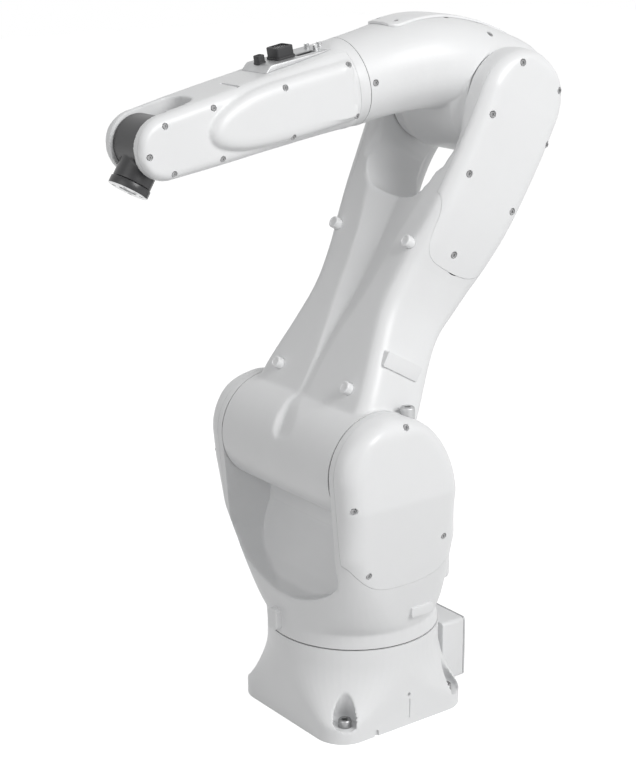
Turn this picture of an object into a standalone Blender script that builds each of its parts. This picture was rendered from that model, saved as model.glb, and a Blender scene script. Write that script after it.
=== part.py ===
"""Six-axis robot arm, built joint by joint.

Origin: the point where the first axis meets the mounting face of the base.
+X is forward, +Y is the robot's left, +Z is up. Sizes are in metres.
Each link is drawn in the frame of its own joint, which is an empty, and the
empties are chained from the base to the tool flange.
"""

import math

import bmesh
import bpy
from mathutils import Matrix, Vector

mm = 0.001

# Driving dimensions: axes of the arm
shoulder_forward = 51.5 * mm
shoulder_height = 336.4 * mm
lower_arm_length = 444.4 * mm
forearm_rise = 60.5 * mm
elbow_reach = 174.9 * mm
forearm_reach = 255.9 * mm
flange_reach = 53.2 * mm

# Driving dimensions: pose in which the arm is drawn
lower_arm_lean = math.radians(-29.42)
forearm_pitch = math.radians(10.24)
wrist_bend = math.radians(48.0)

# Clearances
seat_gap = 0.3 * mm
joint_gap = 0.4 * mm
spin_gap = 1.5 * mm

# Base
foot_half = 103.0 * mm
foot_corner = 36.0 * mm
rim_height = 19.0 * mm
neck_radius = 103.85 * mm
neck_start = 88.0 * mm
base_top = 107.3 * mm
base_wall = 13.0 * mm
base_ceiling = 12.0 * mm
bolt_pitch_x = 154.0 * mm
bolt_pitch_y = 168.0 * mm
bolt_hole_radius = 5.5 * mm
pocket_floor = 16.0 * mm
pocket_foot_radius = 17.0 * mm
pocket_top_radius = 3.0 * mm
pocket_top = 62.0 * mm
bottom_plate_thickness = 5.0 * mm
waist_gap = 1.3 * mm
waist_bearing_inner = 64.0 * mm
waist_bearing_outer = 82.0 * mm
waist_reducer_radius = 60.0 * mm
waist_reducer_height = 42.0 * mm
waist_motor_radius = 38.0 * mm

# Connector box on the back of the base
box_depth = 37.0 * mm
box_half_width = 48.0 * mm
box_floor = 3.5 * mm
box_top = 83.0 * mm
box_corner = 5.0 * mm
panel_thickness = 2.5 * mm

# Turret
turret_side = 141.0 * mm
turret_shoulder_height = shoulder_height - 36.4 * mm
turret_flank_height = shoulder_height - 96.4 * mm
turret_rear_reach = 52.0 * mm
turret_rear_height = shoulder_height - 51.4 * mm
turret_corner = 24.0 * mm
turret_crown_radius = 24.0 * mm
cheek_inner = 105.2 * mm
shoulder_barrel_radius = 65.15 * mm
turret_cover_seam = 114.0 * mm
turret_cover_foot = base_top + 85.7 * mm
turret_cover_wall = 5.0 * mm
turret_pad_face = 116.0 * mm
turret_pad_height = base_top + 43.5 * mm
saddle_clearance = 4.0 * mm
scoop_lip_height = base_top + 65.7 * mm
rear_sill_height = shoulder_height - 104.4 * mm
shoulder_reducer_radius = 50.0 * mm
shoulder_bearing_radius = 42.0 * mm
shoulder_motor_radius = 33.0 * mm
shoulder_motor_x = 6.0 * mm
shoulder_motor_z = base_top + 0.457 * (shoulder_height - base_top)
fitting_foot = shoulder_height + 53 * mm
fitting_radius = 8.5 * mm

# Lower arm
elbow_head_radius = 61.5 * mm
lower_arm_side = 104.0 * mm
lower_arm_waist_side = 75.0 * mm
lower_arm_corner = 18.0 * mm
lower_arm_pad_face = 93.0 * mm
lower_arm_pad_height = 0.2633 * lower_arm_length
elbow_fork_inner = 69.6 * mm
fork_bottom_radius = 69.9 * mm
fork_bottom = lower_arm_length - 143.4 * mm
lower_cover_foot = lower_arm_length - 206.4 * mm
lower_cover_seam_foot = 70.0 * mm
lower_cover_seam_head = 90.0 * mm
elbow_motor_radius = 25.0 * mm
elbow_motor_height = lower_arm_length - 182.4 * mm

# Elbow
elbow_barrel_radius = 59.3 * mm
elbow_front_radius = 49.9 * mm
elbow_reducer_radius = 38.0 * mm
elbow_belly_radius = 65.0 * mm

# Forearm
forearm_side = 40.0 * mm
forearm_tip_radius = 34.0 * mm
forearm_cover_seam = 31.0 * mm
blister_end = forearm_reach - 49 * mm
wrist_fork_inner = 22.0 * mm
wrist_drum_radius = 30.5 * mm
wrist_neck_radius = 21.0 * mm
flange_radius = 22.1 * mm
flange_thickness = 9.0 * mm

segments = 40
small_segments = 20


def start_clean():
    for item in list(bpy.data.objects):
        bpy.data.objects.remove(item, do_unlink=True)


def material(name, colour, roughness, metallic=0.0):
    finish = bpy.data.materials.new(name)
    finish.use_nodes = True
    shader = finish.node_tree.nodes["Principled BSDF"]
    shader.inputs["Base Color"].default_value = (*colour, 1.0)
    shader.inputs["Roughness"].default_value = roughness
    shader.inputs["Metallic"].default_value = metallic
    return finish


def joint_frame(name, parent, place, turn):
    """An empty on a joint's axis, turned about Y by the angle given."""
    frame = bpy.data.objects.new(name, None)
    bpy.context.scene.collection.objects.link(frame)
    frame.parent = parent
    frame.matrix_local = Matrix.Translation(place) @ Matrix.Rotation(turn, 4, "Y")
    return frame


def add_mesh(name, points, faces, finish, frame, cutter=False):
    mesh = bpy.data.meshes.new(name)
    mesh.from_pydata([Vector(point) for point in points], [], faces)
    shape = bmesh.new()
    shape.from_mesh(mesh)
    bmesh.ops.recalc_face_normals(shape, faces=shape.faces)
    shape.to_mesh(mesh)
    shape.free()
    mesh.shade_smooth()
    mesh.set_sharp_from_angle(angle=math.radians(35))
    if finish:
        mesh.materials.append(finish)
    piece = bpy.data.objects.new(name, mesh)
    bpy.context.scene.collection.objects.link(piece)
    piece.parent = frame
    if cutter:
        piece.hide_render = True
        piece.display_type = "WIRE"
    return piece


def loft(name, rings, finish, frame, cutter=False, closed=False):
    """Join rings with equal numbers of points; the ends are capped unless the rings form a loop."""
    count = len(rings[0])
    points = [point for ring in rings for point in ring]
    faces = []
    spans = len(rings) if closed else len(rings) - 1
    for span in range(spans):
        low = span * count
        high = ((span + 1) % len(rings)) * count
        for step in range(count):
            following = (step + 1) % count
            faces.append((low + step, low + following, high + following, high + step))
    if not closed:
        faces.append(tuple(range(count)))
        faces.append(tuple(range(len(points) - count, len(points))))
    return add_mesh(name, points, faces, finish, frame, cutter)


def along(axis, across, up, height):
    """Place a point of a section that lies across one of the three axes."""
    if axis == "X":
        return (height, across, up)
    if axis == "Y":
        return (across, height, up)
    return (across, up, height)


def turned(name, profile, finish, frame, axis="Z", centre=(0, 0), steps=segments, cutter=False, closed=False):
    """Revolve (radius, height) points about an axis through a centre given in the section's plane."""
    rings = []
    for radius, height in profile:
        ring = []
        for step in range(steps):
            angle = 2 * math.pi * step / steps
            across = centre[0] + radius * math.cos(angle)
            up = centre[1] + radius * math.sin(angle)
            ring.append(along(axis, across, up, height))
        rings.append(ring)
    return loft(name, rings, finish, frame, cutter, closed)


def disc(name, radius, low, high, finish, frame, axis="Z", centre=(0, 0), steps=segments, bevel=0.0, cutter=False):
    """A plain or bevelled cylinder."""
    profile = [(radius, low), (radius, high)]
    if bevel:
        profile = [(radius - bevel, low), (radius, low + bevel), (radius, high - bevel), (radius - bevel, high)]
    return turned(name, profile, finish, frame, axis, centre, steps, cutter)


def ring_piece(name, inner, outer, low, high, finish, frame, axis="Z", centre=(0, 0), steps=segments):
    profile = [(inner, low), (outer, low), (outer, high), (inner, high)]
    return turned(name, profile, finish, frame, axis, centre, steps, closed=True)


def rounded_section(low_a, high_a, low_b, high_b, radius, corner_steps):
    """Rounded rectangle as (a, b) points, anticlockwise."""
    smallest = min(high_a - low_a, high_b - low_b) / 2 - 0.05 * mm
    radius = max(min(radius, smallest), 0.05 * mm)
    corners = (
        (high_a - radius, high_b - radius, 0),
        (low_a + radius, high_b - radius, 90),
        (low_a + radius, low_b + radius, 180),
        (high_a - radius, low_b + radius, 270),
    )
    points = []
    for centre_a, centre_b, start in corners:
        for step in range(corner_steps + 1):
            angle = math.radians(start + 90 * step / corner_steps)
            points.append((centre_a + radius * math.cos(angle), centre_b + radius * math.sin(angle)))
    return points


def prism(name, outline, low, high, finish, frame, axis="Z", bevel=0.0, cutter=False):
    """An outline pushed along an axis, with its edges bevelled by shrinking towards its middle."""
    middle_a = sum(point[0] for point in outline) / len(outline)
    middle_b = sum(point[1] for point in outline) / len(outline)

    def ring(height, inset):
        placed = []
        for a, b in outline:
            reach = math.hypot(a - middle_a, b - middle_b)
            share = 1 - inset / reach
            placed.append(along(axis, middle_a + (a - middle_a) * share, middle_b + (b - middle_b) * share, height))
        return placed

    rings = [ring(low, 0.0), ring(high, 0.0)]
    if bevel:
        rings = [ring(low, bevel), ring(low + bevel, 0.0), ring(high - bevel, 0.0), ring(high, bevel)]
    return loft(name, rings, finish, frame, cutter)


def block(name, low, high, radius, finish, frame, axis="Z", bevel=0.0, corner_steps=3, cutter=False):
    """A box between two corners, rounded about one axis."""
    index = "XYZ".index(axis)
    plane = [side for side in range(3) if side != index]
    outline = rounded_section(low[plane[0]], high[plane[0]], low[plane[1]], high[plane[1]], radius, corner_steps)
    return prism(name, outline, low[index], high[index], finish, frame, axis, bevel, cutter)


def combine(piece, other, operation):
    step = piece.modifiers.new(other.name, "BOOLEAN")
    step.operation = operation
    step.object = other
    step.solver = "EXACT"
    other.hide_render = True
    other.display_type = "WIRE"


def cut(piece, *cutters):
    for cutter in cutters:
        combine(piece, cutter, "DIFFERENCE")


def join(piece, *others):
    for other in others:
        combine(piece, other, "UNION")


def share(value, low, high):
    """How far a value lies between two others, from 0 to 1."""
    return min(max((value - low) / (high - low), 0.0), 1.0)


def mix(low, high, part):
    return low + (high - low) * part


def curve_through(stops, place):
    """Smooth value at a place along a curve through (place, value) stops."""
    if place <= stops[0][0]:
        return stops[0][1]
    if place >= stops[-1][0]:
        return stops[-1][1]
    slopes = []
    for index in range(len(stops)):
        before = stops[max(index - 1, 0)]
        after = stops[min(index + 1, len(stops) - 1)]
        slopes.append((after[1] - before[1]) / (after[0] - before[0]))
    index = max(i for i in range(len(stops) - 1) if stops[i][0] <= place)
    low, first = stops[index]
    high, second = stops[index + 1]
    span = high - low
    part = (place - low) / span
    rise = part * part * (3 - 2 * part)
    lead = part * (1 - part) ** 2 * slopes[index] * span
    trail = part * part * (part - 1) * slopes[index + 1] * span
    return first + (second - first) * rise + lead + trail


def cover_region(name, outline, seam, side, outside, grow, frame):
    """The space outside a side cover's flat seam, given at two heights; grow moves its edges out."""
    (low, low_depth), (high, high_depth) = seam
    middle_x = sum(point[0] for point in outline) / len(outline)
    middle_z = sum(point[1] for point in outline) / len(outline)
    inner = []
    outer = []
    for x, z in outline:
        reach = math.hypot(x - middle_x, z - middle_z)
        x += grow * (x - middle_x) / reach
        z += grow * (z - middle_z) / reach
        depth = mix(low_depth, high_depth, (z - low) / (high - low)) - grow
        inner.append((x, side * depth, z))
        outer.append((x, side * outside, z))
    return loft(name, [inner, outer], None, frame, cutter=True)


start_clean()

white_paint = material("white_paint", (0.80, 0.81, 0.81), 0.34)
white_cover = material("white_cover", (0.82, 0.83, 0.83), 0.30)
bare_metal = material("bare_metal", (0.56, 0.57, 0.58), 0.32, 1.0)
dark_metal = material("dark_metal", (0.10, 0.10, 0.11), 0.40, 0.6)
black_plastic = material("black_plastic", (0.02, 0.02, 0.022), 0.45)
black_rubber = material("black_rubber", (0.03, 0.03, 0.03), 0.80)
black_wrist = material("black_wrist", (0.012, 0.012, 0.014), 0.38)

base_frame = joint_frame("base_frame", None, (0, 0, 0), 0.0)
turret_frame = joint_frame("turret_frame", base_frame, (0, 0, 0), 0.0)
lower_arm_frame = joint_frame(
    "lower_arm_frame", turret_frame, (shoulder_forward, 0, shoulder_height), lower_arm_lean
)
elbow_frame = joint_frame(
    "elbow_frame", lower_arm_frame, (0, 0, lower_arm_length), forearm_pitch - lower_arm_lean
)
forearm_frame = joint_frame("forearm_frame", elbow_frame, (elbow_reach, 0, forearm_rise), 0.0)
wrist_frame = joint_frame("wrist_frame", forearm_frame, (forearm_reach, 0, 0), wrist_bend)
flange_frame = joint_frame("flange_frame", wrist_frame, (flange_reach, 0, 0), 0.0)


# Base

def base_section(height, side_half, corner):
    outline = rounded_section(-side_half, side_half, -side_half, side_half, corner, 9)
    return [(x, y, height) for x, y in outline]


def build_base():
    frame = base_frame
    rings = [base_section(0.0, foot_half, foot_corner), base_section(rim_height, foot_half, foot_corner)]
    steps = 7
    for step in range(1, steps + 1):
        part = step / steps
        squareness = (1 - part) ** 2
        height = mix(rim_height + 1.5 * mm, neck_start, part)
        half = mix(neck_radius, foot_half, squareness)
        corner = mix(neck_radius, foot_corner, squareness)
        rings.append(base_section(height, half, corner))
    rings.append(base_section(base_top, neck_radius, neck_radius))
    casting = loft("base_casting", rings, white_paint, frame)
    ceiling = base_top - base_ceiling
    ledge = ceiling - base_ceiling
    hollow = [(neck_radius - base_wall, -10 * mm), (neck_radius - base_wall, ledge)]
    well = [(waist_reducer_radius + joint_gap, ledge - 5 * mm), (waist_reducer_radius + joint_gap, base_top + 5 * mm)]
    seat = [(waist_bearing_outer + joint_gap, ceiling), (waist_bearing_outer + joint_gap, base_top + 5 * mm)]
    cutters = [
        turned("base_hollow_cut", hollow, None, frame, cutter=True),
        turned("base_well_cut", well, None, frame, cutter=True),
        turned("base_seat_cut", seat, None, frame, cutter=True),
    ]
    for side_x in (-1, 1):
        for side_y in (-1, 1):
            centre = (side_x * bolt_pitch_x / 2, side_y * bolt_pitch_y / 2)
            corner_name = f"{'front' if side_x > 0 else 'back'}_{'left' if side_y > 0 else 'right'}"
            pocket = [
                (pocket_foot_radius, pocket_floor),
                (pocket_foot_radius, pocket_floor + 8 * mm),
                (pocket_top_radius, pocket_top),
            ]
            cutters.append(
                turned(f"bolt_pocket_{corner_name}", pocket, None, frame, centre=centre, steps=small_segments, cutter=True)
            )
            hole = [(bolt_hole_radius, -5 * mm), (bolt_hole_radius, pocket_floor + 2 * mm)]
            cutters.append(
                turned(f"bolt_hole_{corner_name}", hole, None, frame, centre=centre, steps=16, cutter=True)
            )
    cable_way = block(
        "base_cable_way", (-foot_half - 10 * mm, -30 * mm, 22 * mm), (-70 * mm, 30 * mm, 66 * mm), 8 * mm, None, frame, "X",
        cutter=True,
    )
    cutters.append(cable_way)
    cut(casting, *cutters)

    disc(
        "base_bottom_plate", neck_radius - base_wall - seat_gap, 0.0, bottom_plate_thickness, dark_metal, frame,
        bevel=0.6 * mm,
    )
    ring_piece("waist_bearing", waist_bearing_inner, waist_bearing_outer, ceiling + seat_gap, base_top, bare_metal, frame)
    reducer_foot = base_top - waist_reducer_height
    disc("waist_reducer", waist_reducer_radius, reducer_foot, base_top + waist_gap - seat_gap, bare_metal, frame, bevel=mm)
    motor_profile = [
        (waist_motor_radius * 0.86, bottom_plate_thickness + seat_gap),
        (waist_motor_radius, bottom_plate_thickness + 3 * mm),
        (waist_motor_radius, reducer_foot - 9 * mm),
        (waist_motor_radius + 6 * mm, reducer_foot - 8 * mm),
        (waist_motor_radius + 6 * mm, reducer_foot - seat_gap),
    ]
    turned("waist_motor", motor_profile, dark_metal, frame)
    ring_piece(
        "waist_seal", neck_radius - 8 * mm, neck_radius - 1.6 * mm, base_top + seat_gap, base_top + waist_gap - seat_gap,
        black_rubber, frame,
    )

    box_front = -max(foot_half, neck_radius) - seat_gap
    box_back = box_front - box_depth
    box = block(
        "connector_box", (box_back + panel_thickness + seat_gap, -box_half_width, box_floor),
        (box_front, box_half_width, box_top), box_corner, white_paint, frame, "X",
    )
    box_hollow = block(
        "connector_box_hollow", (box_back - 5 * mm, -box_half_width + 4 * mm, box_floor + 4 * mm),
        (box_front - 5 * mm, box_half_width - 4 * mm, box_top - 4 * mm), 3 * mm, None, frame, "X", cutter=True,
    )
    box_window = block(
        "connector_box_window", (box_front - 15 * mm, -30 * mm, 22 * mm), (box_front + 15 * mm, 30 * mm, 66 * mm),
        8 * mm, None, frame, "X", cutter=True,
    )
    cut(box, box_hollow, box_window)
    panel = block(
        "connector_panel", (box_back, -box_half_width, box_floor), (box_back + panel_thickness, box_half_width, box_top),
        box_corner, bare_metal, frame, "X",
    )
    connectors = (
        ("power_connector", -24 * mm, 56 * mm, 15 * mm, 22 * mm),
        ("signal_connector", 16 * mm, 56 * mm, 13 * mm, 20 * mm),
    )
    for name, y, z, radius, reach in connectors:
        opening = disc(f"{name}_hole", radius * 0.8, box_back - 5 * mm, box_back + 10 * mm, None, frame, "X", (y, z),
                       small_segments, cutter=True)
        cut(panel, opening)
        profile = [
            (radius * 0.8 - seat_gap, box_back + 12 * mm),
            (radius * 0.8 - seat_gap, box_back - seat_gap),
            (radius, box_back - seat_gap),
            (radius, box_back - 3 * mm),
            (radius * 0.84, box_back - 3.5 * mm),
            (radius * 0.84, box_back - reach + 3 * mm),
            (radius * 0.72, box_back - reach + 3 * mm),
            (radius * 0.72, box_back - 6 * mm),
        ]
        turned(name, profile, black_plastic, frame, "X", (y, z), small_segments)
    for index, y in enumerate((-30 * mm, -10 * mm, 10 * mm, 30 * mm)):
        profile = [
            (5.0 * mm, box_back - seat_gap),
            (5.0 * mm, box_back - 4 * mm),
            (4.2 * mm, box_back - 5 * mm),
            (4.2 * mm, box_back - 12 * mm),
            (2.2 * mm, box_back - 12 * mm),
            (2.2 * mm, box_back - 4 * mm),
        ]
        turned(f"base_air_port_{index + 1}", profile, bare_metal, frame, "X", (y, 19 * mm), 16)


# Turret

def turret_front(height):
    if height <= shoulder_height:
        rise = share(height, base_top, shoulder_height)
        return neck_radius + (shoulder_forward + shoulder_barrel_radius - neck_radius) * rise ** 2
    above = min((height - shoulder_height) / shoulder_barrel_radius, 1.0)
    return shoulder_forward + shoulder_barrel_radius * math.sqrt(1 - above * above)


def turret_rear(height):
    crown = shoulder_height + shoulder_barrel_radius
    if height >= turret_rear_height:
        above = min((height - turret_rear_height) / (crown - turret_rear_height), 1.0)
        return shoulder_forward - (shoulder_forward + turret_rear_reach) * math.sqrt(1 - above * above)
    fall = (turret_rear_height - height) / (turret_rear_height - base_top)
    return -turret_rear_reach - (neck_radius - turret_rear_reach) * min(fall, 1.0) ** 1.5


def turret_width(height):
    crown = shoulder_height + shoulder_barrel_radius
    rise = share(height, base_top + 20 * mm, turret_shoulder_height)
    width = neck_radius + (turret_side - neck_radius) * rise ** 0.75
    over = height - (crown - turret_crown_radius)
    if over > 0:
        width -= turret_crown_radius - math.sqrt(max(turret_crown_radius ** 2 - over ** 2, 0.0))
    return width


def turret_section(height, inset=0.0):
    rise = share(height, base_top + 20 * mm, turret_flank_height)
    corner = mix(neck_radius, turret_corner, rise ** 0.7) - inset
    front = turret_front(height) - inset
    rear = turret_rear(height) + inset
    width = turret_width(height) - inset
    if height > shoulder_height:
        shrink = 1 - inset / shoulder_barrel_radius
        front = mix(shoulder_forward, turret_front(height), shrink)
        rear = mix(shoulder_forward, turret_rear(height), shrink)
        height = mix(shoulder_height, height, shrink)
    return [(x, y, height) for x, y in rounded_section(rear, front, -width, width, corner, 5)]


def turret_heights(low):
    crown = shoulder_height + shoulder_barrel_radius
    heights = [low, base_top + 20 * mm]
    heights += [mix(base_top + 20 * mm, turret_shoulder_height, step / 8) for step in range(1, 9)]
    heights += [mix(turret_shoulder_height, shoulder_height, step / 2) for step in (1, 2)]
    for degrees in (18, 34, 48, 60, 70, 78, 84):
        heights.append(shoulder_height + shoulder_barrel_radius * math.sin(math.radians(degrees)))
    heights.append(crown - 0.05 * mm)
    return heights


def turret_envelope(name, finish, inset=0.0, cutter=False):
    low = base_top + waist_gap
    rings = [turret_section(height, inset) for height in turret_heights(low)]
    return loft(name, rings, finish, turret_frame, cutter)


def saddle_outline():
    """Side view of the space between the cheeks, as (x, z) points."""
    clear = shoulder_barrel_radius + saddle_clearance
    rise = shoulder_height - scoop_lip_height
    ceiling = shoulder_height + 104 * mm
    outline = []
    for degrees in range(235, 266, 15):
        angle = math.radians(degrees)
        outline.append((shoulder_forward + clear * math.cos(angle), shoulder_height + clear * math.sin(angle)))
    outline += [
        (shoulder_forward + 3.5 * mm, scoop_lip_height + 0.447 * rise),
        (shoulder_forward + 21.5 * mm, scoop_lip_height + 0.239 * rise),
        (shoulder_forward + 31.5 * mm, scoop_lip_height + 0.116 * rise),
        (shoulder_forward + 41.5 * mm, scoop_lip_height + 0.037 * rise),
        (shoulder_forward + 53.5 * mm, scoop_lip_height),
        (shoulder_forward + 118.5 * mm, scoop_lip_height - 6 * mm),
        (shoulder_forward + 118.5 * mm, ceiling),
        (-170 * mm, ceiling),
        (-170 * mm, rear_sill_height - 10 * mm),
        (-62 * mm, rear_sill_height),
        (-30 * mm, rear_sill_height + 14 * mm),
    ]
    return outline


def scoop_outline():
    """Front view of the same space, as (y, z) points: it narrows and rounds towards the lip."""
    rise = shoulder_height - scoop_lip_height
    half = (
        (0.19 * cheek_inner, scoop_lip_height - 8 * mm),
        (0.49 * cheek_inner, scoop_lip_height + 1 * mm),
        (0.665 * cheek_inner, scoop_lip_height + 0.055 * rise),
        (0.78 * cheek_inner, scoop_lip_height + 0.135 * rise),
        (0.855 * cheek_inner, scoop_lip_height + 0.257 * rise),
        (0.94 * cheek_inner, scoop_lip_height + 0.477 * rise),
        (cheek_inner, scoop_lip_height + 0.551 * rise),
        (cheek_inner, shoulder_height + 104 * mm),
    )
    return list(half) + [(-y, z) for y, z in reversed(half)]


turret_cover_rise = shoulder_height - turret_cover_foot
turret_cover_outline = (
    (200 * mm, shoulder_height + 124 * mm),
    (-200 * mm, shoulder_height + 124 * mm),
    (-200 * mm, turret_cover_foot + 0.537 * turret_cover_rise),
    (-70 * mm, turret_cover_foot + 0.328 * turret_cover_rise),
    (-46 * mm, turret_cover_foot + 0.146 * turret_cover_rise),
    (-26 * mm, turret_cover_foot + 0.042 * turret_cover_rise),
    (0.0, turret_cover_foot),
    (40 * mm, turret_cover_foot),
    (66 * mm, turret_cover_foot + 0.042 * turret_cover_rise),
    (86 * mm, turret_cover_foot + 0.146 * turret_cover_rise),
    (108 * mm, turret_cover_foot + 0.328 * turret_cover_rise),
    (200 * mm, turret_cover_foot + 0.537 * turret_cover_rise),
)
turret_cover_seams = (
    (turret_cover_foot, turret_cover_seam),
    (turret_shoulder_height, turret_cover_seam),
)


def build_turret():
    frame = turret_frame
    casting = turret_envelope("turret_casting", white_paint)
    throat = prism(
        "turret_throat_cut", saddle_outline(), -cheek_inner - 5 * mm, cheek_inner + 5 * mm, None, frame, "Y",
        cutter=True,
    )
    scoop = prism("turret_scoop_limit", scoop_outline(), -180 * mm, 180 * mm, None, frame, "X", cutter=True)
    combine(throat, scoop, "INTERSECT")
    cable_well = disc(
        "turret_cable_well", waist_reducer_radius - 2 * mm, base_top - 5 * mm, base_top + 50.7 * mm, None, frame,
        cutter=True,
    )
    cutters = [throat, cable_well]
    shoulder_centre = (shoulder_forward, shoulder_height)
    motor_centre = (shoulder_motor_x, shoulder_motor_z)
    fitting_centre = (shoulder_forward - 38.5 * mm, cheek_inner + fitting_radius + 0.8 * mm)
    outside = turret_side + 20 * mm
    for side, name in ((1, "left"), (-1, "right")):
        seat = cover_region(
            f"turret_cover_seat_{name}", turret_cover_outline, turret_cover_seams, side, outside, seat_gap, frame
        )
        cutters.append(seat)
    reducer_hole = disc(
        "shoulder_reducer_hole", shoulder_reducer_radius + seat_gap, cheek_inner - 5 * mm, turret_cover_seam + 5 * mm,
        None, frame, "Y", shoulder_centre, cutter=True,
    )
    bearing_hole = disc(
        "shoulder_bearing_hole", shoulder_bearing_radius + seat_gap, -turret_cover_seam - 5 * mm, -cheek_inner + 5 * mm,
        None, frame, "Y", shoulder_centre, cutter=True,
    )
    motor_hole = disc(
        "shoulder_motor_hole", shoulder_motor_radius + seat_gap, -62 * mm, turret_cover_seam + 5 * mm,
        None, frame, "Y", motor_centre, steps=small_segments, cutter=True,
    )
    fitting_seat = disc(
        "shoulder_fitting_seat", fitting_radius + seat_gap, fitting_foot - seat_gap, fitting_foot + 20 * mm, None, frame,
        centre=fitting_centre, steps=16, cutter=True,
    )
    cutters += [reducer_hole, bearing_hole, motor_hole, fitting_seat]
    cut(casting, *cutters)
    pad = block(
        "turret_pad", (-28 * mm, 90 * mm, turret_pad_height - 6 * mm), (3 * mm, turret_pad_face, turret_pad_height + 6 * mm),
        2 * mm, None, frame, "Y", cutter=True,
    )
    stop = block(
        "waist_stop_boss", (neck_radius - 16 * mm, -22 * mm, base_top + 9 * mm),
        (neck_radius + 8 * mm, -4 * mm, base_top + 33 * mm), 4 * mm, None, frame, "X", cutter=True,
    )
    join(casting, pad, stop)

    for side, name in ((1, "left"), (-1, "right")):
        cover = turret_envelope(f"turret_{name}_cover", white_cover)
        region = cover_region(
            f"turret_cover_trim_{name}", turret_cover_outline, turret_cover_seams, side, outside, 0.0, frame
        )
        combine(cover, region, "INTERSECT")
        hollow = turret_envelope(f"turret_{name}_cover_hollow", None, turret_cover_wall, cutter=True)
        cut(cover, hollow)
        if side > 0:
            cut(cover, fitting_seat)

    reducer = [
        (shoulder_reducer_radius, turret_cover_seam - seat_gap),
        (shoulder_reducer_radius, cheek_inner - joint_gap),
        (shoulder_reducer_radius - 6 * mm, cheek_inner - joint_gap),
        (shoulder_reducer_radius - 6 * mm, cheek_inner - 16 * mm),
    ]
    turned("shoulder_reducer", reducer, bare_metal, frame, "Y", shoulder_centre)
    bearing = [
        (shoulder_bearing_radius - 14 * mm, -turret_cover_seam + seat_gap),
        (shoulder_bearing_radius, -turret_cover_seam + seat_gap),
        (shoulder_bearing_radius, -cheek_inner + joint_gap),
        (shoulder_bearing_radius - 14 * mm, -cheek_inner + joint_gap),
    ]
    turned("shoulder_bearing", bearing, bare_metal, frame, "Y", shoulder_centre, closed=True)
    motor = [
        (shoulder_motor_radius - 3 * mm, -61 * mm),
        (shoulder_motor_radius, -58 * mm),
        (shoulder_motor_radius, cheek_inner - 6 * mm),
        (12 * mm, cheek_inner - 5 * mm),
        (12 * mm, turret_cover_seam - 3 * mm),
    ]
    turned("shoulder_motor", motor, dark_metal, frame, "Y", motor_centre, small_segments)

    rear_cover = block(
        "turret_rear_cover", (-neck_radius - 5 * mm, -54 * mm, base_top + 36.7 * mm),
        (-60 * mm, 54 * mm, rear_sill_height - 6 * mm), 10 * mm, white_cover, frame, "X", bevel=4 * mm, corner_steps=4,
    )
    body_grown = turret_envelope("turret_rear_cover_fit", None, -seat_gap, cutter=True)
    cut(rear_cover, body_grown)

    fitting = [
        (fitting_radius, fitting_foot),
        (fitting_radius, fitting_foot + 11 * mm),
        (fitting_radius - 2 * mm, fitting_foot + 14.5 * mm),
        (3.5 * mm, fitting_foot + 14.5 * mm),
        (3.5 * mm, fitting_foot + 7 * mm),
    ]
    turned("shoulder_air_fitting", fitting, bare_metal, frame, centre=fitting_centre, steps=16)


# Lower arm, in its own frame: X across the arm to the front, Z along it to the elbow

lower_front_stops = (
    (0.0, 47 * mm),
    (0.2880 * lower_arm_length, 47 * mm),
    (0.6751 * lower_arm_length, 50 * mm),
    (0.8776 * lower_arm_length, 54.5 * mm),
    (lower_arm_length, elbow_head_radius),
)
lower_rear_stops = (
    (0.0, 44 * mm),
    (0.2880 * lower_arm_length, 45 * mm),
    (0.3713 * lower_arm_length, 48 * mm),
    (0.4590 * lower_arm_length, 57 * mm),
    (0.5873 * lower_arm_length, 64 * mm),
    (0.7201 * lower_arm_length, 67 * mm),
    (0.8888 * lower_arm_length, 65 * mm),
    (lower_arm_length, elbow_head_radius),
)
lower_side_stops = (
    (0.0, 104 * mm),
    (0.1305 * lower_arm_length, 103 * mm),
    (0.2025 * lower_arm_length, 96 * mm),
    (0.2880 * lower_arm_length, 85 * mm),
    (0.3938 * lower_arm_length, lower_arm_waist_side),
    (0.5018 * lower_arm_length, 78 * mm),
    (0.5873 * lower_arm_length, 86 * mm),
    (0.6976 * lower_arm_length, 94 * mm),
    (0.8888 * lower_arm_length, 101.5 * mm),
    (lower_arm_length, lower_arm_side),
)


lower_cover_outline = (
    (90 * mm, lower_arm_length + 116 * mm),
    (-90 * mm, lower_arm_length + 116 * mm),
    (-90 * mm, lower_cover_foot + 52 * mm),
    (-60 * mm, lower_cover_foot + 18 * mm),
    (-46 * mm, lower_cover_foot + 5 * mm),
    (-28 * mm, lower_cover_foot),
    (10 * mm, lower_cover_foot),
    (26 * mm, lower_cover_foot + 4 * mm),
    (36 * mm, lower_cover_foot + 14 * mm),
    (40 * mm, lower_cover_foot + 30 * mm),
    (43 * mm, lower_cover_foot + 60 * mm),
    (60 * mm, lower_cover_foot + 92 * mm),
    (90 * mm, lower_cover_foot + 107 * mm),
)
lower_cover_seam = (
    (lower_cover_foot, lower_cover_seam_foot),
    (lower_arm_length, lower_cover_seam_head),
)
lower_cover_hollow_seam = (
    (lower_cover_foot, lower_cover_seam_foot - 10 * mm),
    (lower_arm_length, lower_cover_seam_head - 10 * mm),
)
back_edge_stops = (
    (lower_arm_length - 166.4 * mm, 30 * mm),
    (lower_arm_length - 144.4 * mm, 14 * mm),
    (lower_arm_length - 109.4 * mm, 0.0),
    (lower_arm_length - 49.4 * mm, 0.0),
    (lower_arm_length - 36.4 * mm, 12 * mm),
    (lower_arm_length - 19.4 * mm, 30 * mm),
)
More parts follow.
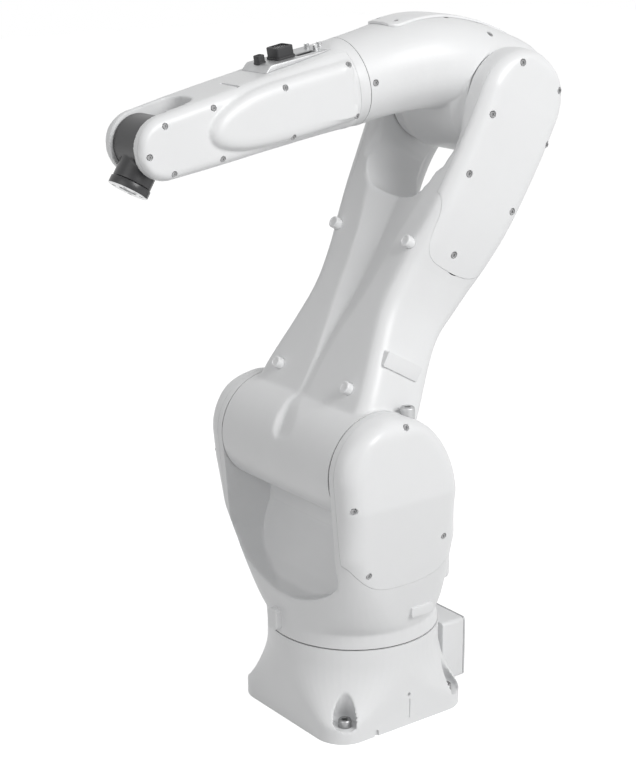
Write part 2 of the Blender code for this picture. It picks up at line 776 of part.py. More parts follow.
front_edge_stops = (
    (lower_arm_length - 114.4 * mm, 13 * mm),
    (lower_arm_length - 99.4 * mm, 6 * mm),
    (lower_arm_length - 82.4 * mm, 0.0),
    (lower_arm_length - 54.4 * mm, 3 * mm),
    (lower_arm_length - 26.4 * mm, 22 * mm),
)


def lower_arm_section(height, inset=0.0):
    if height <= lower_arm_length:
        front = curve_through(lower_front_stops, height) - inset
        rear = curve_through(lower_rear_stops, height) - inset
        side = curve_through(lower_side_stops, height)
    else:
        over = height - lower_arm_length
        shrink = 1 - inset / elbow_head_radius
        front = shrink * math.sqrt(max(elbow_head_radius ** 2 - over ** 2, 0.0))
        rear = front
        height = mix(lower_arm_length, height, shrink)
        side = lower_arm_side
        crown = over - (elbow_head_radius - lower_arm_corner)
        if crown > 0:
            side -= lower_arm_corner - math.sqrt(max(lower_arm_corner ** 2 - crown ** 2, 0.0))
    side -= inset
    return [(x, y, height) for x, y in rounded_section(-rear, front, -side, side, lower_arm_corner - inset, 4)]


def lower_arm_envelope(name, finish, inset=0.0, cutter=False):
    shares = (0, 0.07, 0.13, 0.17, 0.2, 0.245, 0.29, 0.34, 0.395, 0.45, 0.52, 0.585, 0.65, 0.72, 0.8, 0.89, 0.945, 1)
    heights = [part * lower_arm_length for part in shares]
    for degrees in (20, 36, 48, 58, 67, 75, 82):
        heights.append(lower_arm_length + elbow_head_radius * math.sin(math.radians(degrees)))
    heights.append(lower_arm_length + elbow_head_radius - 0.1 * mm)
    rings = [lower_arm_section(height, inset) for height in heights]
    return loft(name, rings, finish, lower_arm_frame, cutter)


def elbow_fork_outline():
    """The round-bottomed gap between the upper cheeks, as (y, z) points."""
    half = (
        (20 * mm, fork_bottom),
        (34 * mm, fork_bottom + 2 * mm),
        (44 * mm, fork_bottom + 7 * mm),
        (52 * mm, fork_bottom + 15 * mm),
        (59 * mm, fork_bottom + 27 * mm),
        (65 * mm, fork_bottom + 43 * mm),
        (elbow_fork_inner, fork_bottom + 68 * mm),
        (elbow_fork_inner, lower_arm_length + 120 * mm),
    )
    return [(y, z) for y, z in half] + [(-y, z) for y, z in reversed(half)]


def cheek_edge_cut(name, side, reach, radius, stops, frame):
    """Rounds the inner front or back edges of the cheeks, as deep as the retreat at each stop allows."""
    centre_x = reach - radius
    centre_y = elbow_fork_inner + radius
    arc = [(centre_x, elbow_fork_inner)]
    for degrees in (30, 60, 90):
        angle = math.radians(degrees)
        arc.append((centre_x + radius * math.sin(angle), centre_y - radius * math.cos(angle)))
    arc.append((110 * mm, centre_y))
    outline = [(x, -y) for x, y in reversed(arc)] + arc
    rings = []
    for height, retreat in stops:
        rings.append([(side * (x + retreat), y, height) for x, y in outline])
    return loft(name, rings, None, frame, cutter=True)


def front_groove(frame):
    """The long hollow down the front of the arm: it deepens and widens towards the fork."""
    stops = (
        (0.099 * lower_arm_length, -9 * mm, 24 * mm),
        (0.169 * lower_arm_length, 7 * mm, 28 * mm),
        (0.248 * lower_arm_length, 17 * mm, 31 * mm),
        (0.394 * lower_arm_length, 24 * mm, 35 * mm),
        (0.563 * lower_arm_length, 28 * mm, 44 * mm),
        (0.743 * lower_arm_length, 30 * mm, 56 * mm),
    )
    rings = []
    for height, depth, half in stops:
        face = curve_through(lower_front_stops, height)
        floor = face - depth
        slope = half * 0.45
        half_ring = [(face + 40 * mm, half), (face + 0.5 * mm, half), (floor, half - slope)]
        ring = [(x, -y, height) for x, y in half_ring]
        ring.append((floor - 3 * mm, 0.0, height))
        ring += [(x, y, height) for x, y in reversed(half_ring)]
        rings.append(ring)
    return loft("lower_arm_groove_cut", rings, None, frame, cutter=True)


def build_lower_arm():
    frame = lower_arm_frame
    barrel_half = cheek_inner - joint_gap
    elbow_centre = (0, lower_arm_length)
    motor_centre = (-15 * mm, elbow_motor_height)
    casting = lower_arm_envelope("lower_arm_casting", white_paint)
    barrel = disc(
        "shoulder_barrel", shoulder_barrel_radius, -barrel_half, barrel_half, None, frame, "Y", steps=64, cutter=True
    )
    pad = block(
        "lower_arm_pad", (-19 * mm, 70 * mm, lower_arm_pad_height - 9 * mm),
        (37 * mm, lower_arm_pad_face, lower_arm_pad_height + 9 * mm), 2 * mm, None, frame, "Y", cutter=True,
    )
    join(casting, barrel, pad)

    cutters = [
        prism("elbow_fork_cut", elbow_fork_outline(), -100 * mm, 100 * mm, None, frame, "X", cutter=True),
        cheek_edge_cut("cheek_back_edges", -1, 66 * mm, 28 * mm, back_edge_stops, frame),
        cheek_edge_cut("cheek_front_edges", 1, 52 * mm, 12 * mm, front_edge_stops, frame),
        front_groove(frame),
        disc(
            "barrel_bore_left", shoulder_reducer_radius + spin_gap, barrel_half - 17 * mm, barrel_half + 5 * mm, None,
            frame, "Y", cutter=True,
        ),
        disc(
            "barrel_bore_right", shoulder_bearing_radius, -barrel_half - 5 * mm, -barrel_half + 17 * mm, None, frame, "Y",
            cutter=True,
        ),
        disc(
            "elbow_reducer_hole", elbow_reducer_radius + seat_gap, elbow_fork_inner - 5 * mm, lower_arm_side, None, frame,
            "Y", elbow_centre, cutter=True,
        ),
        disc(
            "elbow_bearing_hole", elbow_reducer_radius - 4 * mm + seat_gap, -lower_arm_side, -elbow_fork_inner + 5 * mm,
            None, frame, "Y", elbow_centre, cutter=True,
        ),
        disc(
            "elbow_motor_hole", elbow_motor_radius + seat_gap, -52 * mm, lower_arm_side, None, frame, "Y", motor_centre,
            small_segments, cutter=True,
        ),
    ]
    outside = lower_arm_side + 30 * mm
    for side, name in ((1, "left"), (-1, "right")):
        seat = cover_region(
            f"lower_cover_seat_{name}", lower_cover_outline, lower_cover_seam, side, outside, seat_gap, frame
        )
        cutters.append(seat)
    stud_holes = {}
    for level, height in (("lower", 0.1575 * lower_arm_length), ("upper", 0.558 * lower_arm_length)):
        for side, name in ((1, "left"), (-1, "right")):
            face = curve_through(lower_front_stops, height)
            place = (side * 66 * mm, height)
            stud_holes[level, name] = disc(
                f"stud_hole_{level}_{name}", 7 * mm + seat_gap, face - 8 * mm, face + 20 * mm, None, frame, "X", place, 16,
                cutter=True,
            )
            cutters.append(stud_holes[level, name])
            disc(
                f"guide_stud_{level}_{name}", 7 * mm, face - 8 * mm + seat_gap, face + 9 * mm, white_cover, frame, "X",
                place, 16, bevel=1.2 * mm,
            )
    cut(casting, *cutters)

    for side, name in ((1, "left"), (-1, "right")):
        cover = lower_arm_envelope(f"lower_arm_{name}_cover", white_cover)
        region = cover_region(
            f"lower_cover_trim_{name}", lower_cover_outline, lower_cover_seam, side, outside, 0.0, frame
        )
        combine(cover, region, "INTERSECT")
        hollow = lower_arm_envelope(f"lower_cover_hollow_{name}", None, 4.5 * mm, cutter=True)
        hollow_region = cover_region(
            f"lower_cover_hollow_limit_{name}", lower_cover_outline, lower_cover_hollow_seam, side, outside, -5 * mm, frame
        )
        combine(hollow, hollow_region, "INTERSECT")
        cut(cover, hollow, stud_holes["upper", name])

    reducer = [
        (elbow_reducer_radius, lower_cover_seam_head - 3 * mm),
        (elbow_reducer_radius, elbow_fork_inner + joint_gap),
        (elbow_reducer_radius - 6 * mm, elbow_fork_inner + joint_gap),
        (elbow_reducer_radius - 6 * mm, elbow_fork_inner - 12 * mm),
    ]
    turned("elbow_reducer", reducer, bare_metal, frame, "Y", elbow_centre)
    ring_piece(
        "elbow_bearing", 20 * mm, elbow_reducer_radius - 4 * mm, -lower_cover_seam_head + 3 * mm,
        -elbow_fork_inner - joint_gap, bare_metal, frame, "Y", elbow_centre,
    )
    disc(
        "elbow_motor", elbow_motor_radius, -52 * mm + seat_gap, 66 * mm, dark_metal, frame, "Y", motor_centre,
        small_segments, bevel=2 * mm,
    )


# Elbow, in its own frame: X along the forearm, Z square to it

elbow_top_stops = (
    (-69 * mm, 38 * mm),
    (-62 * mm, 49 * mm),
    (-45 * mm, 64 * mm),
    (-6 * mm, 87 * mm),
    (40 * mm, 104 * mm),
    (90 * mm, 111 * mm),
    (elbow_reach, forearm_rise + elbow_front_radius),
)
elbow_floor_stops = (
    (-69 * mm, 14 * mm),
    (-62 * mm, 0.0),
    (-45 * mm, -14 * mm),
    (-6 * mm, -20 * mm),
    (40 * mm, -4 * mm),
    (80 * mm, 7 * mm),
    (120 * mm, forearm_rise - elbow_front_radius),
    (elbow_reach, forearm_rise - elbow_front_radius),
)
elbow_side_stops = (
    (-69 * mm, 60 * mm),
    (-62 * mm, 66 * mm),
    (-45 * mm, 69 * mm),
    (40 * mm, 69 * mm),
    (70 * mm, 66 * mm),
    (100 * mm, 59 * mm),
    (135 * mm, 52 * mm),
    (elbow_reach, elbow_front_radius),
)
elbow_corner_stops = (
    (-69 * mm, 14 * mm),
    (-45 * mm, 44 * mm),
    (-6 * mm, 53 * mm),
    (40 * mm, 53 * mm),
    (100 * mm, 50 * mm),
    (elbow_reach, elbow_front_radius),
)


def elbow_envelope(name, finish, grow=0.0, cutter=False):
    places = [place * mm for place in (-69, -62, -54, -45, -28, -6, 16, 40, 62, 80, 100, 120, 140)]
    rings = []
    for place in places + [elbow_reach - joint_gap]:
        low = curve_through(elbow_floor_stops, place) - grow
        high = curve_through(elbow_top_stops, place) + grow
        side = curve_through(elbow_side_stops, place) + grow
        corner = curve_through(elbow_corner_stops, place) + grow
        rings.append([(place, y, z) for y, z in rounded_section(-side, side, low, high, corner, 5)])
    return loft(name, rings, finish, elbow_frame, cutter)


def build_elbow():
    frame = elbow_frame
    barrel_half = elbow_fork_inner - joint_gap
    tube_centre = (0, forearm_rise)
    casting = elbow_envelope("elbow_casting", white_paint)
    half_barrel = (
        (barrel_half, elbow_barrel_radius),
        (barrel_half - 10 * mm, elbow_barrel_radius),
        (barrel_half - 24 * mm, elbow_belly_radius),
    )
    profile = [(radius, -y) for y, radius in half_barrel] + [(radius, y) for y, radius in reversed(half_barrel)]
    barrel = turned("elbow_barrel", profile, None, frame, "Y", steps=56, cutter=True)
    join(casting, barrel)
    reducer_bore = disc(
        "forearm_reducer_bore", elbow_reducer_radius + seat_gap, elbow_reach - 36 * mm, elbow_reach + 5 * mm, None, frame,
        "X", tube_centre, cutter=True,
    )
    motor_bore = disc(
        "forearm_motor_bore", 27 * mm + seat_gap, 48 * mm, elbow_reach - 30 * mm, None, frame, "X", tube_centre,
        small_segments, cutter=True,
    )
    left_bore = disc(
        "elbow_bore_left", elbow_reducer_radius, barrel_half - 13 * mm, barrel_half + 5 * mm, None, frame, "Y",
        cutter=True,
    )
    right_bore = disc(
        "elbow_bore_right", 30 * mm, -barrel_half - 5 * mm, -barrel_half + 13 * mm, None, frame, "Y", cutter=True
    )
    cut(casting, reducer_bore, motor_bore, left_bore, right_bore)
    disc(
        "forearm_roll_reducer", elbow_reducer_radius, elbow_reach - 36 * mm + seat_gap, elbow_reach - joint_gap,
        bare_metal, frame, "X", tube_centre, bevel=mm,
    )
    disc(
        "forearm_roll_motor", 27 * mm, 48 * mm + seat_gap, elbow_reach - 36 * mm, dark_metal, frame, "X", tube_centre,
        small_segments, bevel=2 * mm,
    )
    cover = elbow_envelope("elbow_top_cover", white_cover, 3 * mm)
    core = elbow_envelope("elbow_cover_seat", None, seat_gap, cutter=True)
    plan = rounded_section(-57 * mm, 116 * mm, -26 * mm, 26 * mm, 12 * mm, 4)
    region = prism("elbow_cover_plan", plan, 68 * mm, 140 * mm, None, frame, "Z", cutter=True)
    combine(cover, region, "INTERSECT")
    cut(cover, core)


# Forearm, in its own frame: X along it from the seam to the wrist axis, Z up

forearm_tip = forearm_reach + forearm_tip_radius
forearm_top_stops = (
    (0.0, elbow_front_radius),
    (12 * mm, elbow_front_radius - 1 * mm),
    (40 * mm, 44 * mm),
    (0.508 * forearm_reach, 40 * mm),
    (0.801 * forearm_reach, 37 * mm),
    (forearm_reach, forearm_tip_radius),
)
forearm_floor_stops = (
    (0.0, elbow_front_radius),
    (12 * mm, elbow_front_radius - 2 * mm),
    (40 * mm, 42 * mm),
    (0.508 * forearm_reach, 38 * mm),
    (0.801 * forearm_reach, 36 * mm),
    (forearm_reach, forearm_tip_radius),
)
forearm_side_stops = (
    (0.0, elbow_front_radius),
    (9 * mm, elbow_front_radius - 0.5 * mm),
    (22 * mm, 45 * mm),
    (45 * mm, 42.5 * mm),
    (0.469 * forearm_reach, 41 * mm),
    (forearm_reach, forearm_side - 1 * mm),
)
forearm_corner_stops = (
    (0.0, elbow_front_radius),
    (9 * mm, elbow_front_radius - 1 * mm),
    (24 * mm, 30 * mm),
    (45 * mm, 20 * mm),
    (0.508 * forearm_reach, 15 * mm),
    (forearm_reach, 11 * mm),
)


def forearm_envelope(name, finish, grow=0.0, cutter=False):
    places = [joint_gap]
    places += [part * forearm_reach for part in (0.023, 0.047, 0.07, 0.1, 0.14, 0.195, 0.33, 0.51, 0.665, 0.84)]
    places.append(forearm_reach)
    for degrees in (22, 40, 54, 65, 74, 82):
        places.append(forearm_reach + forearm_tip_radius * math.sin(math.radians(degrees)))
    rings = []
    for place in places:
        top = curve_through(forearm_top_stops, place)
        floor = curve_through(forearm_floor_stops, place)
        side = curve_through(forearm_side_stops, place)
        corner = curve_through(forearm_corner_stops, place)
        over = place - forearm_reach
        if over > 0:
            top = math.sqrt(forearm_tip_radius ** 2 - over ** 2)
            floor = top
            crown = over - (forearm_tip_radius - corner)
            if crown > 0:
                side -= corner - math.sqrt(max(corner ** 2 - crown ** 2, 0.0))
        outline = rounded_section(-side - grow, side + grow, -floor - grow, top + grow, corner + grow, 5)
        rings.append([(place, y, z) for y, z in outline])
    return loft(name, rings, finish, forearm_frame, cutter)


def blister(name, side, shrink, frame):
    """The long bulge on a forearm cover that clears the wrist motors."""
    rings = []
    for y, inset in ((30 * mm, 0.0), (43 * mm, 0.0), (47 * mm, 1.8 * mm), (49 * mm, 5 * mm), (49.5 * mm, 9 * mm)):
        around = inset + shrink
        outline = rounded_section(
            15 * mm + around, blister_end - around, -25 * mm + around, 33 * mm - around, 28 * mm - around, 6
        )
        rings.append([(x, side * (y - shrink), z) for x, z in outline])
    return loft(name, rings, None, frame, cutter=True)


def build_forearm():
    frame = forearm_frame
    casting = forearm_envelope("forearm_casting", white_paint)
    slot_half = wrist_fork_inner + 1.2 * mm
    wrist_centre = (forearm_reach, 0)
    cutters = [block(
        "wrist_slot_cut", (forearm_reach - 53 * mm, -slot_half, -80 * mm), (forearm_tip + 30 * mm, slot_half, 80 * mm),
        18 * mm, None, frame, "Z", corner_steps=5, cutter=True,
    )]
    for side, name in ((1, "left"), (-1, "right")):
        seam = side * forearm_cover_seam
        outside = side * 80 * mm
        cutters.append(block(
            f"forearm_{name}_shave", (13 * mm, min(seam, outside), -70 * mm), (forearm_tip + 40 * mm, max(seam, outside), 70 * mm), mm,
            None, frame, "Y", cutter=True,
        ))
    for name, place in (("wrist_bend_motor", 0.586 * forearm_reach), ("wrist_roll_motor", 0.36 * forearm_reach)):
        cutters.append(disc(
            f"{name}_hole", 22 * mm + seat_gap, -forearm_cover_seam - 5 * mm, forearm_cover_seam + 5 * mm, None, frame,
            "Y", (place, 2 * mm), small_segments, cutter=True,
        ))
        disc(
            name, 22 * mm, -forearm_cover_seam + mm, forearm_cover_seam - mm, dark_metal, frame, "Y", (place, 2 * mm),
            small_segments, bevel=2 * mm,
        )
    for side, name, radius in ((1, "reducer", 20 * mm), (-1, "bearing", 15 * mm)):
        inner = side * (slot_half - 3 * mm)
        outer = side * (forearm_cover_seam + 5 * mm)
        cutters.append(disc(
            f"wrist_{name}_hole", radius + seat_gap, min(inner, outer), max(inner, outer), None, frame, "Y", wrist_centre,
            small_segments, cutter=True,
        ))
        near = side * (slot_half + joint_gap)
        far = side * (forearm_cover_seam - seat_gap)
        disc(
            f"wrist_{name}", radius, min(near, far), max(near, far), bare_metal, frame, "Y", wrist_centre, small_segments
        )
    cutters.append(disc(
        "forearm_hub_bore", 30 * mm, -5 * mm, 30 * mm, None, frame, "X", steps=small_segments, cutter=True
    ))
    cut(casting, *cutters)

    for side, name in ((1, "left"), (-1, "right")):
        cover = forearm_envelope(f"forearm_{name}_cover", white_cover)
        join(cover, blister(f"forearm_{name}_blister", side, 0.0, frame))
        inside = side * (forearm_cover_seam + seat_gap)
        far = -side * 90 * mm
        trim = block(
            f"forearm_{name}_cover_trim", (-20 * mm, min(inside, far), -80 * mm), (forearm_tip + 50 * mm, max(inside, far), 80 * mm),
            mm, None, frame, "Y", cutter=True,
        )
        collar = block(
            f"forearm_{name}_collar_trim", (-20 * mm, min(side * 20 * mm, side * 90 * mm), -80 * mm),
            (13 * mm + seat_gap, max(side * 20 * mm, side * 90 * mm), 80 * mm), mm, None, frame, "Y", cutter=True,
        )
        cut(cover, blister(f"forearm_{name}_blister_hollow", side, 3.5 * mm, frame), trim, collar)

    block_outline = [
        (18 * mm, 36 * mm),
        (18 * mm, 47.5 * mm),
        (96 * mm, 50 * mm),
        (121 * mm, 52 * mm),
        (136 * mm, 42 * mm),
        (142 * mm, 34 * mm),
    ]
    connector_block = prism("connector_block", block_outline, -17 * mm, 17 * mm, bare_metal, frame, "Y", bevel=1.5 * mm)
    body_fit = forearm_envelope("connector_block_fit", None, seat_gap, cutter=True)
    cut(connector_block, body_fit)
    block(
        "large_connector", (66 * mm, -13 * mm, 50.2 * mm), (93 * mm, 13 * mm, 60 * mm), 3 * mm, black_plastic, frame, "Z",
        bevel=1.2 * mm,
    )
    block(
        "small_connector", (98 * mm, -8 * mm, 51.7 * mm), (112 * mm, 8 * mm, 60 * mm), 3 * mm, black_plastic, frame, "Z",
        bevel=mm,
    )
    for index, (x, y) in enumerate(((36 * mm, -8 * mm), (36 * mm, 8 * mm), (25 * mm, 0.0))):
        disc(
            f"forearm_air_port_{index + 1}", 3.2 * mm, 48.6 * mm, 54 * mm, bare_metal, frame, centre=(x, y), steps=12,
            bevel=0.6 * mm,
        )


# Wrist and tool flange, in their own frames: X towards the tool

def build_wrist():
    frame = wrist_frame
    drum_half = wrist_fork_inner + 0.8 * mm
    housing = disc("wrist_housing", wrist_drum_radius, -drum_half, drum_half, black_wrist, frame, "Y", bevel=2 * mm)
    neck_end = flange_reach - flange_thickness - joint_gap
    neck = disc("wrist_neck", wrist_neck_radius, 0.0, neck_end, None, frame, "X", cutter=True)
    join(housing, neck)
    bore = disc("wrist_bore", 16 * mm, 12 * mm, neck_end + 5 * mm, None, frame, "X", steps=small_segments, cutter=True)
    cut(housing, bore)
    disc(
        "tool_reducer", 16 * mm - seat_gap, 12 * mm + seat_gap, neck_end, bare_metal, frame, "X", steps=small_segments,
        bevel=mm,
    )


def build_flange():
    frame = flange_frame
    face = [
        (flange_radius - mm, -flange_thickness),
        (flange_radius, -flange_thickness + mm),
        (flange_radius, -0.6 * mm),
        (flange_radius - 0.6 * mm, 0.0),
        (10 * mm, 0.0),
        (10 * mm, -4 * mm),
    ]
    flange = turned("tool_flange", face, bare_metal, frame, "X")
    holes = []
    for index in range(4):
        angle = math.radians(45 + 90 * index)
        centre = (15.75 * mm * math.cos(angle), 15.75 * mm * math.sin(angle))
        holes.append(
            disc(f"flange_bolt_hole_{index + 1}", 2.5 * mm, -6 * mm, 5 * mm, None, frame, "X", centre, 12, cutter=True)
        )
    holes.append(disc("flange_dowel_hole", 2.5 * mm, -6 * mm, 5 * mm, None, frame, "X", (15.75 * mm, 0), 12, cutter=True))
    cut(flange, *holes)


build_base()
build_turret()
build_lower_arm()
build_elbow()
build_forearm()
build_wrist()
build_flange()
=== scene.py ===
"""Looks of the six-axis robot arm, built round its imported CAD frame.

Each link is shaped in the frame of its own joint and then put in place.
A link is first made whole, its edges are softened as a casting's are, and
only then are its joint faces, cover seams, bores and screw seats cut, so
that these stay crisp. +X is forward, +Y the robot's left, sizes in metres.
"""

import math

import bpy
import numpy as np
from mathutils import Matrix, Quaternion, Vector
from mathutils.bvhtree import BVHTree


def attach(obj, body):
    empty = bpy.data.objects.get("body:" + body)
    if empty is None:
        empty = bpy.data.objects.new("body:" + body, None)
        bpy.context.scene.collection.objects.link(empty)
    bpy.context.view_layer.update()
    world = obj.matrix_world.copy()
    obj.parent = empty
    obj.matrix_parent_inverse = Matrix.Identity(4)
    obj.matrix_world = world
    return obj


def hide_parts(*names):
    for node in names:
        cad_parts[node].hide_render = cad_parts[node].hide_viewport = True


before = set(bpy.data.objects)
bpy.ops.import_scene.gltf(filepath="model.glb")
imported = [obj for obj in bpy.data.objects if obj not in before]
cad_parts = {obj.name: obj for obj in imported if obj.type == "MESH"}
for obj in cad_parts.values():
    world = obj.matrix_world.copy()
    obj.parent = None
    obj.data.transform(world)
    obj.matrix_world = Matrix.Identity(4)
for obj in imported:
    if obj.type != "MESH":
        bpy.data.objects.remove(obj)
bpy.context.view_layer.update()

mm = 0.001


def in_mm(*rows):
    """A table written in millimetres, as metres."""
    return tuple(tuple(value * mm for value in row) for row in rows)


# Driving dimensions: axes of the arm
shoulder_forward = 51.5 * mm
shoulder_height = 336.4 * mm
lower_arm_length = 444.4 * mm
forearm_rise = 60.5 * mm
elbow_reach = 174.9 * mm
forearm_reach = 255.9 * mm
flange_reach = 53.2 * mm

# Driving dimensions: pose in which the arm is drawn
lower_arm_lean = math.radians(-29.42)
forearm_pitch = math.radians(10.24)
wrist_bend = math.radians(48.0)

# Edges steeper than this, in degrees, stay sharp in the shading
sharp_angle = 38

# Clearances
seat_gap = 0.3 * mm
joint_gap = 0.4 * mm
spin_gap = 1.5 * mm

# Base
foot_half = 103.0 * mm
foot_corner = 36.0 * mm
rim_height = 19.0 * mm
neck_radius = 103.85 * mm
neck_start = 88.0 * mm
base_top = 107.3 * mm
base_wall = 13.0 * mm
base_ceiling = 12.0 * mm
bolt_pitch_x = 154.0 * mm
bolt_pitch_y = 168.0 * mm
bolt_hole_radius = 5.5 * mm
pocket_floor = 16.0 * mm
pocket_foot_radius = 17.0 * mm
pocket_top_radius = 3.0 * mm
pocket_top = 62.0 * mm
waist_gap = 1.3 * mm
waist_bearing_outer = 82.0 * mm
waist_reducer_radius = 60.0 * mm

# Connector box on the back of the base
box_depth = 37.0 * mm
box_half_width = 48.0 * mm
box_floor = 3.5 * mm
box_top = 83.0 * mm
box_corner = 5.0 * mm
panel_thickness = 2.5 * mm

# Turret
turret_side = 141.0 * mm
turret_shoulder_height = shoulder_height - 36.4 * mm
turret_flank_height = shoulder_height - 96.4 * mm
turret_rear_reach = 52.0 * mm
turret_rear_height = shoulder_height - 51.4 * mm
turret_corner = 24.0 * mm
turret_crown_radius = 24.0 * mm
cheek_inner = 105.2 * mm
shoulder_barrel_radius = 65.15 * mm
turret_cover_seam = 114.0 * mm
turret_cover_foot = base_top + 85.7 * mm
turret_cover_wall = 5.0 * mm
turret_pad_face = 116.0 * mm
turret_pad_height = base_top + 43.5 * mm
saddle_clearance = 4.0 * mm
scoop_lip_height = base_top + 65.7 * mm
rear_sill_height = shoulder_height - 104.4 * mm
shoulder_reducer_radius = 50.0 * mm
shoulder_bearing_radius = 42.0 * mm
shoulder_motor_radius = 33.0 * mm
shoulder_motor_x = 6.0 * mm
shoulder_motor_z = base_top + 0.457 * (shoulder_height - base_top)
fitting_foot = shoulder_height + 53 * mm
fitting_radius = 8.5 * mm

# Lower arm
elbow_head_radius = 61.5 * mm
lower_arm_side = 104.0 * mm
lower_arm_corner = 18.0 * mm
lower_arm_pad_face = 93.0 * mm
lower_arm_pad_height = 0.2633 * lower_arm_length
elbow_fork_inner = 69.6 * mm
fork_bottom = lower_arm_length - 143.4 * mm
lower_cover_foot = lower_arm_length - 206.4 * mm
lower_cover_seam_foot = 70.0 * mm
lower_cover_seam_head = 90.0 * mm
elbow_motor_radius = 25.0 * mm
elbow_motor_height = lower_arm_length - 182.4 * mm

# Elbow
elbow_barrel_radius = 59.3 * mm
elbow_front_radius = 49.9 * mm
elbow_reducer_radius = 38.0 * mm
elbow_belly_radius = 65.0 * mm

# Forearm
forearm_side = 40.0 * mm
forearm_tip_radius = 34.0 * mm
forearm_cover_seam = 31.0 * mm
wrist_fork_inner = 22.0 * mm
wrist_drum_radius = 30.5 * mm
wrist_neck_radius = 21.0 * mm
flange_radius = 22.1 * mm
flange_thickness = 9.0 * mm
corner_steps = 12
round_steps = 128

camera_place = Vector((1.1983, 1.5341, 0.9811))
camera_aim = Vector((0.0519, 0.0, 0.4062))
camera_lens = 80.71
camera_turn = (camera_aim - camera_place).to_track_quat("-Z", "Y") @ Quaternion((0, 0, 1), -0.0031)

shoulder_place = Matrix.Translation((shoulder_forward, 0, shoulder_height))
lower_arm_place = shoulder_place @ Matrix.Rotation(lower_arm_lean, 4, "Y")
elbow_turn = Matrix.Rotation(forearm_pitch - lower_arm_lean, 4, "Y")
elbow_place = lower_arm_place @ Matrix.Translation((0, 0, lower_arm_length)) @ elbow_turn
forearm_place = elbow_place @ Matrix.Translation((elbow_reach, 0, forearm_rise))
wrist_place = forearm_place @ Matrix.Translation((forearm_reach, 0, 0)) @ Matrix.Rotation(wrist_bend, 4, "Y")
flange_place = wrist_place @ Matrix.Translation((flange_reach, 0, 0))
body_places = {
    "base": Matrix.Identity(4),
    "turret": Matrix.Identity(4),
    "lower_arm": lower_arm_place,
    "elbow": elbow_place,
    "forearm": forearm_place,
    "wrist": wrist_place,
    "flange": flange_place,
}


# Mesh building

def into_scene(name, data):
    thing = bpy.data.objects.new(name, data)
    bpy.context.scene.collection.objects.link(thing)
    return thing


def add_mesh(name, points, faces):
    mesh = bpy.data.meshes.new(name)
    mesh.from_pydata([tuple(point) for point in points], [], faces)
    mesh.update()
    return into_scene(name, mesh)


def signed_volume(points, faces):
    total = 0.0
    for face in faces:
        first = Vector(points[face[0]])
        for low, high in zip(face[1:-1], face[2:]):
            total += first.dot(Vector(points[low]).cross(Vector(points[high])))
    return total


def closed_mesh(name, points, faces):
    """A closed body whose faces look outwards."""
    if signed_volume(points, faces) < 0:
        faces = [tuple(reversed(face)) for face in faces]
    return add_mesh(name, points, faces)


def loft(name, rings, closed=False):
    """Join rings with equal numbers of points; the ends are capped unless the rings form a loop."""
    count = len(rings[0])
    points = [point for ring in rings for point in ring]
    faces = []
    spans = len(rings) if closed else len(rings) - 1
    for span in range(spans):
        low = span * count
        high = ((span + 1) % len(rings)) * count
        for step in range(count):
            following = (step + 1) % count
            faces.append((low + step, low + following, high + following, high + step))
    if not closed:
        faces.append(tuple(reversed(range(count))))
        faces.append(tuple(range(len(points) - count, len(points))))
    return closed_mesh(name, points, faces)


def along(axis, across, up, height):
    """Place a point of a section that lies across one of the three axes."""
    if axis == "X":
        return (height, across, up)
    if axis == "Y":
        return (across, height, up)
    return (across, up, height)


def turned(name, profile, axis="Z", centre=(0, 0), steps=round_steps, closed=False):
    """Revolve (radius, height) points about an axis through a centre given in the section's plane."""
    rings = []
    for radius, height in profile:
        ring = []
        for step in range(steps):
            angle = 2 * math.pi * step / steps
            across = centre[0] + radius * math.cos(angle)
            up = centre[1] + radius * math.sin(angle)
            ring.append(along(axis, across, up, height))
        rings.append(ring)
    return loft(name, rings, closed)


def disc(name, radius, low, high, axis="Z", centre=(0, 0), steps=round_steps, bevel=0.0):
    profile = [(radius, low), (radius, high)]
    if bevel:
        profile = [(radius - bevel, low), (radius, low + bevel), (radius, high - bevel), (radius - bevel, high)]
    return turned(name, profile, axis, centre, steps)


def rounded_section(low_a, high_a, low_b, high_b, radius, corner_steps):
    """Rounded rectangle as (a, b) points, anticlockwise."""
    smallest = min(high_a - low_a, high_b - low_b) / 2 - 0.05 * mm
    radius = max(min(radius, smallest), 0.05 * mm)
    corners = (
        (high_a - radius, high_b - radius, 0),
        (low_a + radius, high_b - radius, 90),
        (low_a + radius, low_b + radius, 180),
        (high_a - radius, low_b + radius, 270),
    )
    points = []
    for centre_a, centre_b, start in corners:
        for step in range(corner_steps + 1):
            angle = math.radians(start + 90 * step / corner_steps)
            points.append((centre_a + radius * math.cos(angle), centre_b + radius * math.sin(angle)))
    return points


def prism(name, outline, low, high, axis="Z", bevel=0.0):
    """An outline pushed along an axis; its end edges are rounded by shrinking towards its middle."""
    middle_a = sum(point[0] for point in outline) / len(outline)
    middle_b = sum(point[1] for point in outline) / len(outline)

    def ring(height, inset):
        placed = []
        for a, b in outline:
            reach = math.hypot(a - middle_a, b - middle_b)
            part = 1 - inset / reach
            placed.append(along(axis, middle_a + (a - middle_a) * part, middle_b + (b - middle_b) * part, height))
        return placed

    rings = [ring(low, 0.0), ring(high, 0.0)]
    if bevel:
        turns = [math.radians(angle) for angle in (0, 22.5, 45, 67.5, 90)]
        foot = [ring(low + bevel * (1 - math.sin(turn)), bevel * (1 - math.cos(turn))) for turn in reversed(turns)]
        head = [ring(high - bevel * (1 - math.sin(turn)), bevel * (1 - math.cos(turn))) for turn in turns]
        rings = foot + head
    return loft(name, rings)


